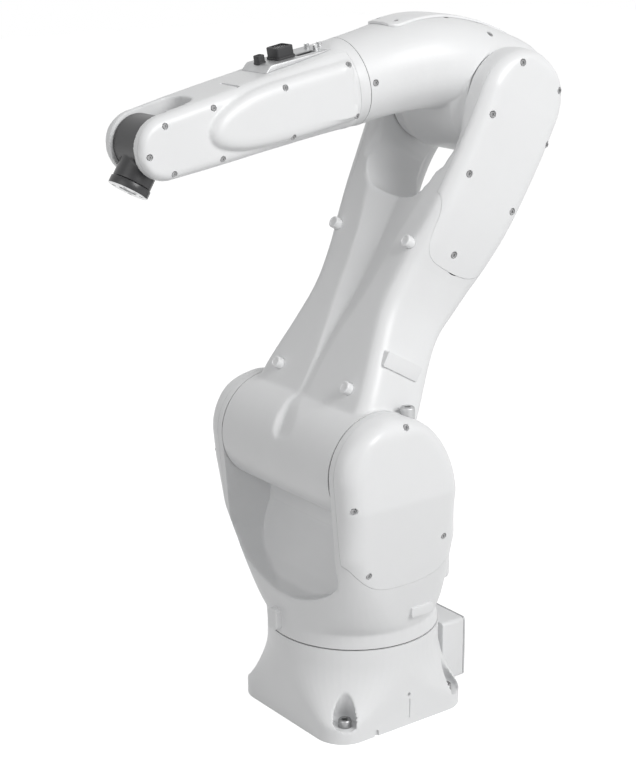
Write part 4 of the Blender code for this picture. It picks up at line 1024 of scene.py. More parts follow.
def build_turret():
    low = base_top + waist_gap
    whole = turret_envelope("turret_casting_finished", low - 4 * mm)
    cut(whole, throat("turret_throat", cheek_inner - 2.5 * mm, 1.8 * mm))
    soften(whole, 2.3 * mm, 2.7 * mm)
    foot = low + 0.5 * mm
    trim = block("turret_foot_trim", (-200 * mm, -200 * mm, low - 20 * mm), (200 * mm, 200 * mm, foot), 5 * mm)
    cable_well = disc("turret_cable_well", waist_reducer_radius - 2 * mm, base_top - 5 * mm, base_top + 50.7 * mm)
    cut(whole, trim, throat("turret_throat_faces", cheek_inner, 0.0), cable_well)
    pad_outline = rounded_section(-28 * mm, 3 * mm, turret_pad_height - 6 * mm, turret_pad_height + 6 * mm, 2.0 * mm, 5)
    stop_outline = rounded_section(-22 * mm, -4 * mm, base_top + 7 * mm, base_top + 33 * mm, 5 * mm, 6)
    join(
        whole, prism("turret_pad", pad_outline, 90 * mm, turret_pad_face, "Y", 0.9 * mm),
        prism("waist_stop", stop_outline, neck_radius - 16 * mm, neck_radius + 8 * mm, "X", 2.0 * mm),
    )

    outside = turret_side + 20 * mm
    covers = {}
    for side, name in ((1, "left"), (-1, "right")):
        cover = copied(whole, f"turret_{name}_cover_finished")
        limit(cover, cover_region("cover_trim", turret_cover_outline, turret_cover_seams, side, outside, 0.0))
        covers[name] = cover
    seats = []
    for side in (1, -1):
        seats.append(cover_region("cover_seat", turret_cover_outline, turret_cover_seams, side, outside, seat_gap))
    shoulder_centre = (shoulder_forward, shoulder_height)
    motor_centre = (shoulder_motor_x, shoulder_motor_z)
    fitting_centre = (shoulder_forward - 38.5 * mm, cheek_inner + fitting_radius + 0.8 * mm)
    inner = cheek_inner - 5 * mm
    seam = turret_cover_seam + 5 * mm
    fitting_seat = disc(
        "fitting_seat", fitting_radius + seat_gap, fitting_foot - seat_gap, fitting_foot + 20 * mm, "Z", fitting_centre,
    )
    cut(
        whole, *seats,
        disc("shoulder_reducer_hole", shoulder_reducer_radius + seat_gap, inner, seam, "Y", shoulder_centre),
        disc("shoulder_bearing_hole", shoulder_bearing_radius + seat_gap, -seam, -inner, "Y", shoulder_centre),
        disc("shoulder_motor_hole", shoulder_motor_radius + seat_gap, -62 * mm, turret_cover_seam, "Y", motor_centre),
    )
    cut(whole, fitting_seat, keep=True)

    heads = []
    for side, name in ((1, "left"), (-1, "right")):
        cover = covers[name]
        places = find_seats(cover, turret_near_screws, (0, side, 0))
        screw_seats, screws = seated_screws(places, 4, 2.6, 30, 0.6, 3.2, 2)
        heads += screws
        cut(cover, turret_envelope("cover_hollow", low, turret_cover_wall), screw_seats)
        if side > 0:
            cut(cover, fitting_seat)
        put(cover, f"turret_{name}_cover", "turret", cover_paint)
    put(whole, "turret_casting", "turret", casting_paint)
    put(many("turret_cover_screws", heads), None, "turret", screw_steel)

    rear_outline = rounded_section(-54 * mm, 54 * mm, base_top + 36.7 * mm, rear_sill_height - 6 * mm, 10 * mm, 10)
    rear = prism("turret_rear_cover_finished", rear_outline, -neck_radius - 5 * mm, -60 * mm, "X", 4 * mm)
    body = turret_envelope("turret_rear_fit", low, -seat_gap)
    cut(rear, body)
    places = []
    for y in (-45 * mm, 45 * mm):
        for z in (base_top + 46 * mm, rear_sill_height - 15 * mm):
            places.append(((-neck_radius - 5 * mm, y, z), (-1, 0, 0)))
    screw_seats, rear_heads = seated_screws(places, 3.6, 2.4, 6, 0.6, 2.9, 1.7)
    cut(rear, screw_seats)
    put(rear, "turret_rear_cover", "turret", cover_paint)
    put(many("turret_rear_screws", rear_heads), None, "turret", screw_steel)

    rounding = 2.5 * mm
    profile = [(fitting_radius, fitting_foot)]
    for angle in range(0, 91, 15):
        turn = math.radians(angle)
        radius = fitting_radius - rounding * (1 - math.cos(turn))
        profile.append((radius, fitting_foot + 12 * mm + rounding * math.sin(turn)))
    profile += [(radius * mm, fitting_foot + height * mm) for radius, height in ((3.9, 14.5), (3.5, 14.1), (3.5, 7))]
    fitting = turned("shoulder_air_fitting_finished", profile, centre=fitting_centre, steps=64)
    put(fitting, "shoulder_air_fitting", "turret", cast_alloy)


# Lower arm: X across the arm to the front, Z along it to the elbow

lower_front_stops = [(part * lower_arm_length, reach * mm) for part, reach in (
    (0, 47), (0.2880, 47), (0.6751, 50), (0.8776, 54.5),
)] + [(lower_arm_length, elbow_head_radius)]
lower_rear_stops = [(part * lower_arm_length, reach * mm) for part, reach in (
    (0, 44), (0.2880, 45), (0.3713, 48), (0.4590, 57), (0.5873, 64), (0.7201, 67), (0.8888, 65),
)] + [(lower_arm_length, elbow_head_radius)]
lower_side_stops = [(part * lower_arm_length, reach * mm) for part, reach in (
    (0, 104), (0.1305, 103), (0.2025, 96), (0.2880, 85), (0.3938, 75),
    (0.5018, 78), (0.5873, 86), (0.6976, 94), (0.8888, 101.5),
)] + [(lower_arm_length, lower_arm_side)]
lower_cover_outline = [(90 * mm, lower_arm_length + 116 * mm), (-90 * mm, lower_arm_length + 116 * mm)]
lower_cover_outline += [(x * mm, lower_cover_foot + rise * mm) for x, rise in (
    (-90, 52), (-60, 18), (-46, 5), (-28, 0), (10, 0), (26, 4), (36, 14), (40, 30), (43, 60), (60, 92), (90, 107),
)]
lower_cover_seam = (
    (lower_cover_foot, lower_cover_seam_foot),
    (lower_arm_length, lower_cover_seam_head),
)
lower_cover_hollow_seam = (
    (lower_cover_foot, lower_cover_seam_foot - 10 * mm),
    (lower_arm_length, lower_cover_seam_head - 10 * mm),
)
back_edge_stops = [(lower_arm_length - drop * mm, retreat * mm) for drop, retreat in (
    (166.4, 30), (144.4, 14), (109.4, 0), (49.4, 0), (36.4, 12), (19.4, 30),
)]
front_edge_stops = [(lower_arm_length - drop * mm, retreat * mm) for drop, retreat in (
    (114.4, 13), (99.4, 6), (82.4, 0), (54.4, 3), (26.4, 22),
)]
lower_arm_screws = in_mm(
    (31, 481), (41, 413), (34, 343), (-3, 257), (-38, 479), (-56, 419), (-50, 332),
)


def lower_arm_section(height, inset=0.0):
    if height <= lower_arm_length:
        front = curve_through(lower_front_stops, height) - inset
        rear = curve_through(lower_rear_stops, height) - inset
        side = curve_through(lower_side_stops, height)
    else:
        over = height - lower_arm_length
        shrink = 1 - inset / elbow_head_radius
        front = shrink * math.sqrt(max(elbow_head_radius ** 2 - over ** 2, 0.0))
        rear = front
        height = mix(lower_arm_length, height, shrink)
        side = lower_arm_side
        crown = over - (elbow_head_radius - lower_arm_corner)
        if crown > 0:
            side -= lower_arm_corner - math.sqrt(max(lower_arm_corner ** 2 - crown ** 2, 0.0))
    side -= inset
    outline = rounded_section(-rear, front, -side, side, lower_arm_corner - inset, corner_steps)
    return [(x, y, height) for x, y in outline]


def lower_arm_envelope(name, inset=0.0):
    heights = [lower_arm_length * step / 60 for step in range(61)]
    for degrees in range(5, 88, 4):
        heights.append(lower_arm_length + elbow_head_radius * math.sin(math.radians(degrees)))
    heights.append(lower_arm_length + elbow_head_radius - 0.1 * mm)
    return loft(name, [lower_arm_section(height, inset) for height in heights])


def fork_gap(name, half):
    """The round-bottomed gap between the upper cheeks."""
    points = [(y * mm, fork_bottom + rise * mm) for y, rise in (
        (20, 0), (34, 2), (44, 7), (52, 15), (59, 27), (65, 43),
    )]
    points += [(half, fork_bottom + 68 * mm), (half, lower_arm_length + 120 * mm)]
    outline = points + [(-y, z) for y, z in reversed(points)]
    return prism(name, round_corners(outline, 8 * mm), -100 * mm, 100 * mm, "X")


def cheek_edge(name, side, reach, radius, stops, wall=0.0):
    """Rounds the inner front or back edges of the cheeks, as deep as the retreat at each stop allows."""
    centre_x = reach - radius
    centre_y = elbow_fork_inner + radius
    bend = radius - wall
    arc = [(centre_x, centre_y - bend)]
    for degrees in range(10, 91, 10):
        angle = math.radians(degrees)
        arc.append((centre_x + bend * math.sin(angle), centre_y - bend * math.cos(angle)))
    arc.append((110 * mm, centre_y))
    outline = [(x, -y) for x, y in reversed(arc)] + arc
    low = stops[0][0]
    high = stops[-1][0]
    rings = []
    for step in range(25):
        height = mix(low, high, step / 24)
        retreat = curve_through(stops, height)
        rings.append([(side * (x + retreat), y, height) for x, y in outline])
    return loft(name, rings)


def front_groove(name):
    """The shallow V down the front of the arm: a narrow far slope and a wide near one, running out on the barrel."""
    stops = (  # height, far edge, valley, near edge, depth, all in mm
        (-13, -4, 1, 12, 0.3),
        (-7, -8, -1, 22, 4.5),
        (3, -11, -3.5, 26, 6.0),
        (20, -14, -8, 20, 4.5),
        (38, -17, -14, 6, 2.5),
        (56, -14, -11, 4, 2.0),
        (91, -14, -9.5, 6, 3.0),
        (130, -18, -7, 12, 6.0),
        (170, -23, -3, 25, 10.0),
        (210, -26, 0, 34, 12.5),
        (250, -31, 0, 42, 14.0),
        (290, -41, -1, 52, 16.0),
        (330, -52, 0, 62, 18.0),
    )
    rings = []
    for step in range(57):
        height = mix(stops[0][0], stops[-1][0], step / 56)
        far, valley, near, depth = (
            curve_through([(stop[0], stop[column]) for stop in stops], height) * mm for column in range(1, 5)
        )
        height *= mm
        barrel = math.sqrt(max(shoulder_barrel_radius ** 2 - height ** 2, 0.0))
        face = max(curve_through(lower_front_stops, max(height, 0.0)), barrel)
        ring = (
            (face + 30 * mm, far), (face + 0.5 * mm, far), (face - depth, valley),
            (face + 0.5 * mm, near), (face + 30 * mm, near),
        )
        rings.append([(x, y, height) for x, y in ring])
    return loft(name, rings)


def seam_rings(name, radius, half, width):
    """Cutters for the narrow channel at both ends of a barrel, where its seal lies."""
    rings = []
    for side in (1, -1):
        profile = [
            (radius - 1.6 * mm, side * (half - width)),
            (radius + 3 * mm, side * (half - width)),
            (radius + 3 * mm, side * (half + 2 * mm)),
            (radius - 1.6 * mm, side * (half + 2 * mm)),
        ]
        rings.append(turned(name, profile, "Y", steps=192, closed=True))
    return rings


def seal_ring(name, radius, half, width, body):
    """The black seal in that channel, one at each end."""
    for side, end in ((1, "left"), (-1, "right")):
        profile = [
            (radius - 6 * mm, side * (half + 0.1 * mm)),
            (radius - 1.2 * mm, side * (half + 0.1 * mm)),
            (radius - 1.2 * mm, side * (half - width + 0.1 * mm)),
            (radius - 1.7 * mm, side * (half - width + 0.1 * mm)),
            (radius - 1.7 * mm, side * (half - 0.3 * mm)),
            (radius - 6 * mm, side * (half - 0.3 * mm)),
        ]
        seal = turned(f"{name}_{end}", profile, "Y", steps=192, closed=True)
        put(seal, None, body, seal_rubber)


def build_lower_arm():
    barrel_half = cheek_inner - joint_gap
    elbow_centre = (0, lower_arm_length)
    motor_centre = (-15 * mm, elbow_motor_height)
    whole = lower_arm_envelope("lower_arm_casting_finished")
    barrel = disc("shoulder_barrel", shoulder_barrel_radius, -barrel_half - 6 * mm, barrel_half + 6 * mm, "Y")
    join(whole, barrel)
    cut(
        whole, fork_gap("fork_gap", elbow_fork_inner - 2.5 * mm),
        cheek_edge("cheek_back_edge", -1, 66 * mm, 28 * mm, back_edge_stops),
        cheek_edge("cheek_front_edge", 1, 52 * mm, 12 * mm, front_edge_stops),
        front_groove("front_groove"),
    )
    soften(whole, 2.2 * mm, 2.4 * mm)
    ends = block("barrel_ends", (-300 * mm, -barrel_half, -300 * mm), (300 * mm, barrel_half, 700 * mm), 5 * mm)
    limit(whole, ends)
    pad_foot = lower_arm_pad_height - 9 * mm
    pad_outline = rounded_section(-19 * mm, 37 * mm, pad_foot, lower_arm_pad_height + 9 * mm, 2.0 * mm, 5)
    join(whole, prism("lower_arm_pad", pad_outline, 70 * mm, lower_arm_pad_face, "Y", 0.9 * mm))
    cut(whole, *seam_rings("shoulder_seam", shoulder_barrel_radius, barrel_half, 1.3 * mm))
    face_stops = (
        (elbow_fork_inner - 4.4 * mm, fork_bottom + 52 * mm), (elbow_fork_inner - 2.0 * mm, fork_bottom + 66 * mm),
        (elbow_fork_inner - 0.5 * mm, fork_bottom + 76 * mm), (elbow_fork_inner, fork_bottom + 84 * mm),
        (elbow_fork_inner, lower_arm_length + 120 * mm),
    )
    fork_faces = list(face_stops) + [(-y, z) for y, z in reversed(face_stops)]
    cut(whole, prism("fork_faces", fork_faces, -120 * mm, 120 * mm, "X"))
    outside = lower_arm_side + 30 * mm
    covers = {}
    for side, name in ((1, "left"), (-1, "right")):
        cover = copied(whole, f"lower_arm_{name}_cover_finished")
        limit(cover, cover_region("cover_trim", lower_cover_outline, lower_cover_seam, side, outside, 0.0))
        covers[name] = cover
    seats = []
    for side in (1, -1):
        seats.append(cover_region("cover_seat", lower_cover_outline, lower_cover_seam, side, outside, seat_gap))
    bore = barrel_half - 17 * mm
    fork = elbow_fork_inner - 5 * mm
    cut(
        whole, *seats,
        disc("barrel_bore_left", shoulder_reducer_radius + spin_gap, bore, barrel_half + 5 * mm, "Y"),
        disc("barrel_bore_right", shoulder_bearing_radius + spin_gap, -barrel_half - 5 * mm, -bore, "Y"),
        disc("elbow_reducer_hole", elbow_reducer_radius + seat_gap, fork, lower_arm_side, "Y", elbow_centre),
        disc("elbow_bearing_hole", elbow_reducer_radius - 4 * mm + seat_gap, -lower_arm_side, -fork, "Y", elbow_centre),
        disc("elbow_motor_hole", elbow_motor_radius + seat_gap, -52 * mm, lower_arm_side, "Y", motor_centre),
    )
    stud_holes = {}
    for level, height in (("lower", 0.1575 * lower_arm_length), ("upper", 0.558 * lower_arm_length)):
        drills = []
        face = curve_through(lower_front_stops, height)
        for side, name in ((1, "left"), (-1, "right")):
            drills.append(drilled((face, side * 66 * mm, height), (1, 0, 0), 7 * mm + seat_gap, 8 * mm, 20 * mm))
            profile = [(7 * mm, face - 8 * mm + seat_gap), (7 * mm, face + 7.6 * mm)]
            for angle in range(15, 91, 15):
                turn = math.radians(angle)
                profile.append((5.6 * mm + 1.4 * mm * math.cos(turn), face + 7.6 * mm + 1.4 * mm * math.sin(turn)))
            profile += [(4.6 * mm, face + 9 * mm), (4.2 * mm, face + 8.5 * mm), (3.9 * mm, face + 8.5 * mm)]
            stud = turned(f"guide_stud_{level}_{name}_finished", profile, "X", (side * 66 * mm, height), 64)
            put(stud, f"guide_stud_{level}_{name}", "lower_arm", cover_paint)
        stud_holes[level] = many("stud_holes", drills)
    cut(whole, stud_holes["lower"])
    cut(whole, stud_holes["upper"], keep=True)
    heads = []
    for side, name in ((1, "left"), (-1, "right")):
        cover = covers[name]
        places = find_seats(cover, lower_arm_screws, (0, side, 0))
        screw_seats, screws = seated_screws(places, 4.4, 2.6, 30, 0.5, 3.6, 2.1)
        heads += screws
        hollow = lower_arm_envelope("cover_hollow", 4.5 * mm)
        region = cover_region("hollow_limit", lower_cover_outline, lower_cover_hollow_seam, side, outside, -5 * mm)
        limit(hollow, region)
        cut(
            hollow, cheek_edge("hollow_back_edge", -1, 66 * mm, 28 * mm, back_edge_stops, 5 * mm),
            cheek_edge("hollow_front_edge", 1, 52 * mm, 12 * mm, front_edge_stops, 5 * mm),
        )
        cut(cover, hollow, screw_seats)
        cut(cover, stud_holes["upper"], keep=True)
        put(cover, f"lower_arm_{name}_cover", "lower_arm", cover_paint)
    discard(stud_holes["upper"])
    put(whole, "lower_arm_casting", "lower_arm", casting_paint)
    put(many("lower_arm_cover_screws", heads), None, "lower_arm", screw_steel)
    seal_ring("shoulder_seal", shoulder_barrel_radius, barrel_half, 1.3 * mm, "lower_arm")


# Elbow: X along the forearm, Z square to it

elbow_top_stops = in_mm((-69, 38), (-62, 49), (-45, 64), (-6, 87), (40, 104), (90, 111)) + (
    (elbow_reach, forearm_rise + elbow_front_radius),
)
elbow_floor_stops = in_mm((-69, 14), (-62, 0), (-45, -14), (-6, -20), (40, -4), (80, 7)) + (
    (120 * mm, forearm_rise - elbow_front_radius),
    (elbow_reach, forearm_rise - elbow_front_radius),
)
elbow_side_stops = in_mm((-69, 60), (-62, 66), (-45, 69), (40, 69), (70, 66), (100, 59), (135, 52)) + (
    (elbow_reach, elbow_front_radius),
)
elbow_corner_stops = in_mm((-69, 14), (-45, 44), (-6, 53), (40, 53), (100, 50)) + ((elbow_reach, elbow_front_radius),)
elbow_screws_in_view = ((445, 15), (490, 34), (376, 83))


def build_elbow():
    barrel_half = elbow_fork_inner - joint_gap
    tube_centre = (0, forearm_rise)
    rings = []
    for step in range(60):
        place = mix(-69 * mm, elbow_reach + 5 * mm, step / 59)
        low = curve_through(elbow_floor_stops, place)
        high = curve_through(elbow_top_stops, place)
        side = curve_through(elbow_side_stops, place)
        corner = curve_through(elbow_corner_stops, place)
        rings.append([(place, y, z) for y, z in rounded_section(-side, side, low, high, corner, corner_steps)])
    whole = loft("elbow_casting_finished", rings)
    half_barrel = (
        (barrel_half + 5 * mm, elbow_barrel_radius),
        (barrel_half - 10 * mm, elbow_barrel_radius),
        (barrel_half - 14 * mm, elbow_barrel_radius + 0.7 * mm),
        (barrel_half - 24 * mm, elbow_belly_radius),
    )
    profile = [(radius, -y) for y, radius in half_barrel] + [(radius, y) for y, radius in reversed(half_barrel)]
    join(whole, turned("elbow_barrel", profile, "Y"))
    soften(whole, 1.7 * mm, 2.0 * mm)
    limit(whole, block(
        "elbow_ends", (-200 * mm, -barrel_half, -200 * mm), (elbow_reach - joint_gap, barrel_half, 300 * mm), 0.2 * mm,
    ))

    cover = grown(whole, "elbow_top_cover_finished", 3 * mm)
    plan = rounded_section(-57 * mm, 116 * mm, -26 * mm, 26 * mm, 12 * mm, 8)
    limit(cover, prism("cover_plan", plan, 58 * mm, 140 * mm))
    soften(cover, 1.2 * mm, 0.9 * mm)
    cut(cover, grown(whole, "cover_seat", seat_gap))
    limit(cover, prism("cover_plan_trim", plan, 60 * mm, 140 * mm))
    places = find_seats(cover, in_mm((-44, 16), (-44, -16), (103, 16), (103, -16)), (0, 0, 1))
    screw_seats, cover_heads = seated_screws(places, 3.4, 1.6, 20, 0.3, 2.7, 1.2)
    cut(cover, screw_seats)

    cut(whole, *seam_rings("elbow_seam", elbow_barrel_radius, barrel_half, 2.4 * mm))
    radius = elbow_reducer_radius + seat_gap
    cut(
        whole,
        disc("reducer_bore", radius, elbow_reach - 36 * mm, elbow_reach + 5 * mm, "X", tube_centre),
        disc("motor_bore", 27 * mm + seat_gap, 48 * mm, elbow_reach - 30 * mm, "X", tube_centre),
        disc("elbow_bore_left", elbow_reducer_radius, barrel_half - 13 * mm, barrel_half + 5 * mm, "Y"),
        disc("elbow_bore_right", 30 * mm, -barrel_half - 5 * mm, -barrel_half + 13 * mm, "Y"),
    )
    places = []
    for u, v in elbow_screws_in_view:
        point, normal = seat_in_view(whole, elbow_place, u, v)
        for side in (1, -1):
            places.append((Vector((point.x, side * point.y, point.z)), Vector((normal.x, side * normal.y, normal.z))))
    screw_seats, heads = seated_screws(places, 3.9, 2.4, 10, 0.6, 3.2, 1.7)
    cut(whole, screw_seats)
    put(whole, "elbow_casting", "elbow", casting_paint)
    put(cover, "elbow_top_cover", "elbow", cover_paint)
    put(many("elbow_screws", heads + cover_heads), None, "elbow", screw_steel)
    seal_ring("elbow_seal", elbow_barrel_radius, barrel_half, 2.4 * mm, "elbow")
    tube_ring = [
        (elbow_front_radius - 6 * mm, elbow_reach - 2 * mm),
        (elbow_front_radius - 0.7 * mm, elbow_reach - 2 * mm),
        (elbow_front_radius - 0.7 * mm, elbow_reach - 0.1 * mm),
        (elbow_front_radius - 6 * mm, elbow_reach - 0.1 * mm),
    ]
    seal = turned("forearm_seal", tube_ring, "X", tube_centre, steps=192, closed=True)
    put(seal, None, "elbow", seal_rubber)


# Forearm: X along it from the seam to the wrist axis, Z up

forearm_tip = forearm_reach + forearm_tip_radius
forearm_top_stops = (
    (0.0, elbow_front_radius),
    (12 * mm, elbow_front_radius - 1 * mm),
    (40 * mm, 44 * mm),
    (0.508 * forearm_reach, 40 * mm),
    (0.801 * forearm_reach, 37 * mm),
    (forearm_reach, forearm_tip_radius),
)
forearm_floor_stops = (
    (0.0, elbow_front_radius),
    (12 * mm, elbow_front_radius - 2 * mm),
    (40 * mm, 42 * mm),
    (0.508 * forearm_reach, 38 * mm),
    (0.801 * forearm_reach, 36 * mm),
    (forearm_reach, forearm_tip_radius),
)
forearm_side_stops = (
    (0.0, elbow_front_radius),
    (9 * mm, elbow_front_radius - 0.5 * mm),
    (22 * mm, 45 * mm),
    (45 * mm, 42.5 * mm),
    (0.469 * forearm_reach, 41 * mm),
    (forearm_reach, forearm_side - 1 * mm),
)
forearm_corner_stops = (
    (0.0, elbow_front_radius),
    (9 * mm, elbow_front_radius - 1 * mm),
    (24 * mm, 30 * mm),
    (45 * mm, 20 * mm),
    (0.508 * forearm_reach, 15 * mm),
    (forearm_reach, 11 * mm),
)

forearm_screws = in_mm(
    (256, 24), (196, 27), (110, 27), (23, 30), (280, -2), (255, -27), (195, -28), (108, -28), (22, -28),
)


def forearm_envelope(name, start, grow=0.0):
    places = [start + (forearm_reach - start) * step / 60 for step in range(61)]
    for degrees in range(5, 84, 4):
        places.append(forearm_reach + forearm_tip_radius * math.sin(math.radians(degrees)))
    rings = []
    for place in places:
        top = curve_through(forearm_top_stops, place)
        floor = curve_through(forearm_floor_stops, place)
        side = curve_through(forearm_side_stops, place)
        corner = curve_through(forearm_corner_stops, place)
        over = place - forearm_reach
        if over > 0:
            top = math.sqrt(forearm_tip_radius ** 2 - over ** 2)
            floor = top
            crown = over - (forearm_tip_radius - corner)
            if crown > 0:
                side -= corner - math.sqrt(max(corner ** 2 - crown ** 2, 0.0))
        outline = rounded_section(-side - grow, side + grow, -floor - grow, top + grow, corner + grow, corner_steps)
        rings.append([(place, y, z) for y, z in outline])
    return loft(name, rings)


blister_outline = in_mm(
    (15, 27), (19, 33), (45, 34), (80, 34.5), (115, 34.5), (140, 33.5), (158, 31), (177, 26), (192, 19.5),
    (202, 11), (206.6, 2), (205, -7), (198, -14.5), (186, -20.5), (168, -25.5), (145, -28.5), (118, -30.5),
    (85, -32), (50, -32.5), (19, -31.5), (15, -26), (14, 0),
)


def blister(name, side, shrink):
    """The long bulge on a forearm cover that clears the wrist motors: full behind, with a rounded nose in front."""
    outline = eased_loop(blister_outline)
    rises = in_mm((30, 0), (39, 0), (42, 0.5), (44.5, 1.8), (46.7, 4), (48.3, 7), (49.2, 10.5), (49.5, 13.5))
    rings = []
    for y, inset in rises:
        rings.append([(x, side * (y - shrink), z) for x, z in drawn_in(outline, min(inset + shrink, 14.5 * mm))])
    return loft(name, rings)


def build_forearm():
    slot_half = wrist_fork_inner + 1.2 * mm
    wrist_centre = (forearm_reach, 0)
    whole = forearm_envelope("forearm_casting_finished", -5 * mm)
    join(whole, blister("blister_left", 1, 0.0), blister("blister_right", -1, 0.0))
    slot_outline = rounded_section(forearm_reach - 53 * mm, forearm_tip + 30 * mm, -slot_half, slot_half, 18 * mm, 12)
    cut(whole, prism("wrist_slot", slot_outline, -80 * mm, 80 * mm))
    soften(whole, 1.45 * mm, 1.5 * mm)
    limit(whole, block("forearm_end", (joint_gap, -80 * mm, -80 * mm), (400 * mm, 80 * mm, 80 * mm), 0.2 * mm))
    covers = {}
    for side, name in ((1, "left"), (-1, "right")):
        near = side * (forearm_cover_seam + seat_gap)
        far = side * 90 * mm
        cover = copied(whole, f"forearm_{name}_cover_finished")
        low = (13 * mm + seat_gap, min(near, far), -80 * mm)
        high = (forearm_tip + 50 * mm, max(near, far), 80 * mm)
        limit(cover, block("cover_trim", low, high, mm, "Y"))
        covers[name] = cover
    cutters = []
    for side in (1, -1):
        near = side * forearm_cover_seam
        far = side * 80 * mm
        low = (13 * mm, min(near, far), -90 * mm)
        high = (forearm_tip + 60 * mm, max(near, far), 90 * mm)
        cutters.append(block("cover_seat", low, high, mm, "Y"))
    end = forearm_cover_seam + 5 * mm
    for place in (0.586 * forearm_reach, 0.36 * forearm_reach):
        cutters.append(disc("motor_hole", 22 * mm + seat_gap, -end, end, "Y", (place, 2 * mm)))
    for side, radius in ((1, 20 * mm), (-1, 15 * mm)):
        inner = side * (slot_half - 3 * mm)
        outer = side * end
        cutters.append(disc("wrist_hole", radius + seat_gap, min(inner, outer), max(inner, outer), "Y", wrist_centre))
    cutters.append(disc("hub_bore", 30 * mm, -5 * mm, 30 * mm, "X"))
    cut(whole, *cutters)
    heads = []
    for side, name in ((1, "left"), (-1, "right")):
        cover = covers[name]
        places = find_seats(cover, forearm_screws, (0, side, 0))
        screw_seats, screws = seated_screws(places, 3.6, 2.2, 20, 0.5, 2.8, 1.6)
        heads += screws
        cut(cover, screw_seats, blister("blister_hollow", side, 3.5 * mm))
        put(cover, f"forearm_{name}_cover", "forearm", cover_paint)
    cut(whole, tile("top_slit", (155, 158.6, -2, 32), 1.6, 36.6 * mm, 60 * mm, steps=6))
    put(whole, "forearm_casting", "forearm", casting_paint)
    put(many("forearm_cover_screws", heads), None, "forearm", screw_steel)


def build_top_connectors():
    top = 46.5 * mm
    above = 60 * mm
    outline = in_mm((18, 28), (18, 45.5), (60, 46.5), (107, 47.5), (121, 36), (124, 28))
    plate = prism("connector_block_finished", round_corners(outline, 2.5 * mm), -23 * mm, 23 * mm, "Y", 1.5 * mm)
    cut(plate, forearm_envelope("plate_fit", joint_gap, seat_gap))
    cut(plate, tile("plate_slot", (40, 65, 3, 15), 2.5, top - 4.5 * mm, above, steps=6))
    put(plate, "connector_block", "forearm", cast_alloy)
    socket = tile("flat_socket", (40.4, 64.6, 3.4, 14.6), 2.3, top - 4.4 * mm, top - 0.9 * mm, 0.5, steps=6)
    cut(socket, tile("flat_socket_well", (43, 62, 6, 12), 1.2, top - 2.6 * mm, above, steps=4))
    put(socket, None, "forearm", moulded_black)
    large = tile("large_connector_finished", (67, 89, -9, 12), 2.5, top, above, 1.2)
    cut(large, tile("large_cavity", (69.6, 86.4, -6.4, 9.4), 1.8, 58.2 * mm, 62 * mm))
    join(large, tile("large_collar", (66, 90, -10, 13), 3, top, 49.6 * mm, 0.6))
    put(large, "large_connector", "forearm", moulded_black)
    small = tile("small_connector_finished", (99, 108.5, -7, 3), 2.2, top, 56 * mm, 0.9)
    cut(small, disc("small_cavity", 3.1 * mm, 54 * mm, 62 * mm, "Z", (103.7 * mm, -2 * mm)))
    join(small, tile("small_collar", (98.4, 109.1, -7.6, 3.6), 2.5, top, 48.8 * mm, 0.5))
    put(small, "small_connector", "forearm", moulded_black)
    pins = []
    for row in range(4):
        for column in range(4):
            place = (72 * mm + row * 4 * mm, -4 * mm + column * 3.6 * mm, 58.2 * mm)
            pins.append(drilled(place, (0, 0, 1), 0.55 * mm, 0.3 * mm, 0.9 * mm))
    put(many("large_connector_pins", pins), None, "forearm", turned_metal)
    profile = in_mm((2.9, 45), (2.9, 51.2), (2.5, 51.6), (1.7, 51.6), (1.5, 51.3), (1.5, 48.5))
    for index, centre in enumerate(in_mm((36, -8), (36, 8), (25, 0))):
        port = turned(f"forearm_air_port_{index + 1}_finished", profile, centre=centre, steps=48)
        put(port, f"forearm_air_port_{index + 1}", "forearm", turned_metal)


# Wrist and tool flange: X towards the tool

def build_wrist():
    drum_half = wrist_fork_inner + 0.8 * mm
    housing = disc("wrist_housing_finished", wrist_drum_radius, -drum_half, drum_half, "Y")
    neck_end = flange_reach - flange_thickness - joint_gap
    join(housing, disc("wrist_neck", wrist_neck_radius, 0.0, neck_end, "X"))
    soften(housing, 0.85 * mm, 1.1 * mm)
    limit(housing, block("wrist_ends", (-60 * mm, -40 * mm, -60 * mm), (neck_end, 40 * mm, 60 * mm), 0.2 * mm))
    cut(housing, disc("wrist_bore", 16 * mm, 12 * mm, neck_end + 5 * mm, "X"))
    put(housing, "wrist_housing", "wrist", wrist_black)


def build_flange():
    profile = [
        (flange_radius - mm, -flange_thickness),
        (flange_radius - 0.3 * mm, -flange_thickness + 0.3 * mm),
        (flange_radius, -flange_thickness + mm),
        (flange_radius, -0.6 * mm),
        (flange_radius - 0.2 * mm, -0.2 * mm),
        (flange_radius - 0.6 * mm, 0.0),
        (10.4 * mm, 0.0),
        (10 * mm, -0.4 * mm),
        (10 * mm, -4 * mm),
    ]
    flange = turned("tool_flange_finished", profile, "X")
    drills = []
    for index in range(4):
        angle = math.radians(45 + 90 * index)
        place = (0.0, 15.75 * mm * math.cos(angle), 15.75 * mm * math.sin(angle))
        drills.append(drilled(place, (1, 0, 0), 2.5 * mm, 6 * mm, 5 * mm))
    drills.append(drilled((0.0, 15.75 * mm, 0.0), (1, 0, 0), 2.5 * mm, 6 * mm, 5 * mm))
    cut(flange, many("flange_holes", drills))
    put(flange, "tool_flange", "flange", turned_metal)
    axis = flange_place.to_3x3() @ Vector((1, 0, 0))
    flange.data.materials.append(wrist_black)
    for face in flange.data.polygons:
        middle = flange_place.inverted() @ face.center
        on_rim = math.hypot(middle.y, middle.z) > flange_radius - 1.5 * mm and middle.x < -0.9 * mm
        if on_rim and abs(face.normal.dot(axis)) < 0.9:
            face.material_index = 1


